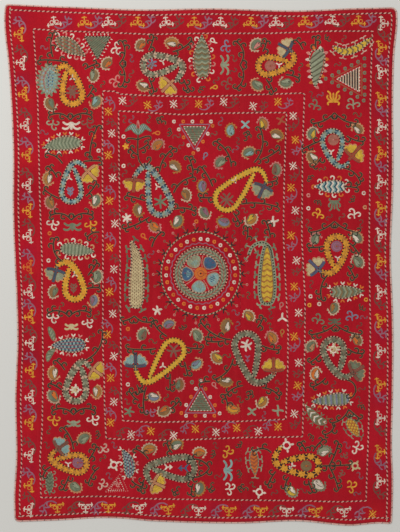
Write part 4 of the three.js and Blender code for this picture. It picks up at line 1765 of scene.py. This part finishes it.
lot = [(x, y) for x in np.arange(-73, 77, 1.0) for y in np.arange(-106, 106, 1.0) if in_ground(x, y)]
dice.shuffle(lot)
counts = {"sprigs": 0, "forks": 0, "curls": 0}
for place in lot:
    if free_for(place, 3.2):
        tendril(place, dice.uniform(0, 360), 2.4, dice.uniform(30, 60), 2, size=0.85)
        counts["sprigs"] += 1
for place in lot:
    if free_for(place, 2.6):
        turn = dice.uniform(0, 360)
        tendril(np.asarray(place) - heading_vector(turn) * 1.6, turn, 1.6, 25, 1, size=0.72)
        counts["forks"] += 1
for place in lot:
    if free_for(place, 2.0):
        turn = dice.uniform(0, 360)
        dye = ("fawn", "moss", "mauve", "brown")[dice.integers(4)]
        curl(place, turn, dye, dice.uniform(1.0, 1.25))
        counts["curls"] += 1
print("fillers:", counts)

# %% [markdown]
# ## Bled dye
# Orange and mauve silk ran a little into the wool when the cover was washed. Each border motif
# leaves a faint halo on the cloth beneath it, kept as a value at every point of the cloth.

# %% Bled dye
HALO = 4.2


def bleed_into(piece):
    """Sums a bell curve round each place. The wool's finish reads the result."""
    mesh = piece.data
    places = np.zeros(len(mesh.vertices) * 3, np.float32)
    mesh.vertices.foreach_get("co", places)
    plan = places.reshape(-1, 3)[:, :2] / CM
    total = np.zeros(len(plan))
    for at, value in bleeds:
        near = np.abs(plan - at).max(1) < HALO * 3
        total[near] += value * np.exp(-((plan[near] - at) ** 2).sum(1) / HALO**2)
    mesh.attributes.new("bled_dye", "FLOAT", "POINT").data.foreach_set("value", total.astype(np.float32))


for piece in (wide_cloth, narrow_cloth):
    bleed_into(piece)
print("halos:", len(bleeds))

# %% [markdown]
# ## Sewing it down
# Silk stands a little proud of the wool. Each line becomes a ribbon three points wide whose crest
# follows the lie of the cloth, with a dip at every link of the chain, and whose edges sink into
# the cloth. One finish serves all the silks: the dye comes from the line, and painted shade between the
# links darkens it.

# %% Silk finish
CREST = 0.8 * MM
SUNK = 0.12 * MM
LINK_DIP = 0.22


def silk_finish(slot):
    """Dyed silk: the line's own dye, with painted shade between the links, and worn in slow patches.
    The links are a wave along the line that bends forward at its middle."""
    material, surface, place = finish_of(slot.replace("_", " "), 0.62, 0.3, 0.35)
    dye = place.node("ShaderNodeAttribute", {"attribute_name": "dye"}, (), 0)
    along = place.node("ShaderNodeUVMap", {"uv_map": "along"})
    run, side = along.part("X"), along.part("Y")
    link = (run * (2 * math.pi / 3.0) + side.size() * 2.4).wave()
    worn = place.noise(60.0, 3.0).within(0.3, 0.75)
    # painted shade: the colour darkens where the link wave dips between links
    shade = link.within(-1.0, -0.2).blend(linear(190, 180, 176), linear(255, 255, 255))
    soil = worn.blend(linear(255, 255, 255), linear(222, 214, 208))
    colour_with(surface, dye.tint(shade).tint(soil))
    raise_by(surface, link, 0.45 * MM, 0.5)
    return material


print("silk finish ready")

# %% Sew


def ribbons(lines, width, lift, taper):
    """Three points across every step of equal lines. The half width and the crest shrink towards
    the two ends. Gives the places and, for each, its run along the line and its side."""
    number, steps = lines.shape[:2]
    along = np.gradient(lines, axis=1)
    along /= np.linalg.norm(along, axis=2, keepdims=True) + 1e-12
    square = np.stack([-along[..., 1], along[..., 0]], -1)
    pace = np.linalg.norm(np.diff(lines, axis=1), axis=2)
    run = np.concatenate([np.zeros((number, 1)), np.cumsum(pace, 1)], 1)
    full = np.clip(0.35 + np.minimum(run, run[:, -1:] - run) / taper, 0, 1)
    half = (full * width / 2)[..., None]
    plan = np.stack([lines + square * half, lines, lines - square * half], 2)
    crest = CREST * full * (1 - LINK_DIP * (np.arange(steps) % 2))
    rise = np.stack([np.full_like(crest, -SUNK), crest, np.full_like(crest, -SUNK)], -1)
    height = lie(plan[..., 0], plan[..., 1]) + lift + rise
    side = np.broadcast_to(np.array([-1.0, 0.0, 1.0]), height.shape)
    unrolled = np.stack([np.broadcast_to(run[..., None] / MM, height.shape), side], -1)
    return np.concatenate([plan, height[..., None]], -1), unrolled


def sew(slot, batches):
    """One piece for all the lines of a family, with the dye and the run kept at its points."""
    places, quads, runs, dyes = [], [], [], []
    count = 0
    for lines, width, lift, taper, colour in batches:
        number, steps = lines.shape[:2]
        points, unrolled = ribbons(lines, width, lift, taper)
        first = count + np.arange(number)[:, None, None] * steps * 3
        places.append(points.reshape(-1, 3))
        runs.append(unrolled.reshape(-1, 2))
        quads.append((grid_faces(steps, 3)[None] + first).reshape(-1, 4))
        dyes.append(np.repeat(np.append(colour, np.ones((number, 1)), 1), steps * 3, 0))
        count += number * steps * 3
    places, quads = np.concatenate(places), np.concatenate(quads)
    piece = mesh_piece("embroidery_" + slot.split("_")[1], places, quads, silk_finish(slot))
    mesh = piece.data
    dye = mesh.attributes.new("dye", "FLOAT_COLOR", "POINT")
    dye.data.foreach_set("color", np.concatenate(dyes).ravel().astype(np.float32))
    corner = np.zeros(len(mesh.loops), np.int32)
    mesh.loops.foreach_get("vertex_index", corner)
    unrolled = np.concatenate(runs)[corner]
    mesh.uv_layers.new(name="along").data.foreach_set("uv", unrolled.ravel().astype(np.float32))
    flat = (places[corner, :2] - np.array(cad_low)[:2]) / (cad_high[1] - cad_low[1]) * 0.98 + 0.01
    mesh.uv_layers.new(name="OFBake").data.foreach_set("uv", flat.ravel().astype(np.float32))
    return piece


silks = [sew(slot, batches) for slot, batches in basket.items() if batches]
for piece in silks:
    print(piece.name, 2 * len(piece.data.polygons), "triangles")

# %% [markdown]
# ## Two lengths of cloth
# The cover is two lengths sewn side by side.

# %% [markdown]
# ## Floor, light and camera
# The cover lies face up on a plain pale floor. One large lamp gives the cloth its grain from the
# upper left, and an even sky fills the rest, at a level where a dye looks as it was mixed. The
# camera hangs straight above with a long lens, so that the four sides stay true.

# %% Stage
scene = bpy.context.scene
FLOOR_REACH = 20.0
FLOOR_DROP = 0.5 * MM
floor_mesh = bpy.data.meshes.new("floor")
floor_corners = [(-1, -1), (1, -1), (1, 1), (-1, 1)]
floor_places = [(FLOOR_REACH * x, FLOOR_REACH * y, -FLOOR_DROP) for x, y in floor_corners]
floor_mesh.from_pydata(floor_places, [], [(0, 1, 2, 3)])
floor = bpy.data.objects.new("floor", floor_mesh)
scene.collection.objects.link(floor)
floor_material, floor_surface = finish_of("pale floor", 0.9, 0.0, 0.2)[:2]
floor_surface.inputs["Base Color"].default_value = linear(222, 220, 214)
floor_mesh.materials.append(floor_material)

sky = bpy.data.worlds.new("even sky")
sky.use_nodes = True
sky.node_tree.nodes["Background"].inputs["Color"].default_value = linear(255, 255, 255)
sky.node_tree.nodes["Background"].inputs["Strength"].default_value = 0.62
scene.world = sky
window = bpy.data.lights.new("window", "AREA")
window.size = 2.5
window.energy = 95
window_object = bpy.data.objects.new("window", window)
window_object.location = (-2.6, 2.9, 3.4)
window_object.rotation_euler = (math.radians(-40), math.radians(-38), 0)
scene.collection.objects.link(window_object)

lens = bpy.data.cameras.new("long lens")
lens.lens = 85
lens.sensor_width = 36
camera = bpy.data.objects.new("camera", lens)
camera.location = (-3.5 * MM, -5.3 * MM, 5.78)
scene.collection.objects.link(camera)
scene.camera = camera
scene.view_settings.view_transform = "Standard"
print("camera height:", camera.location.z, "m")
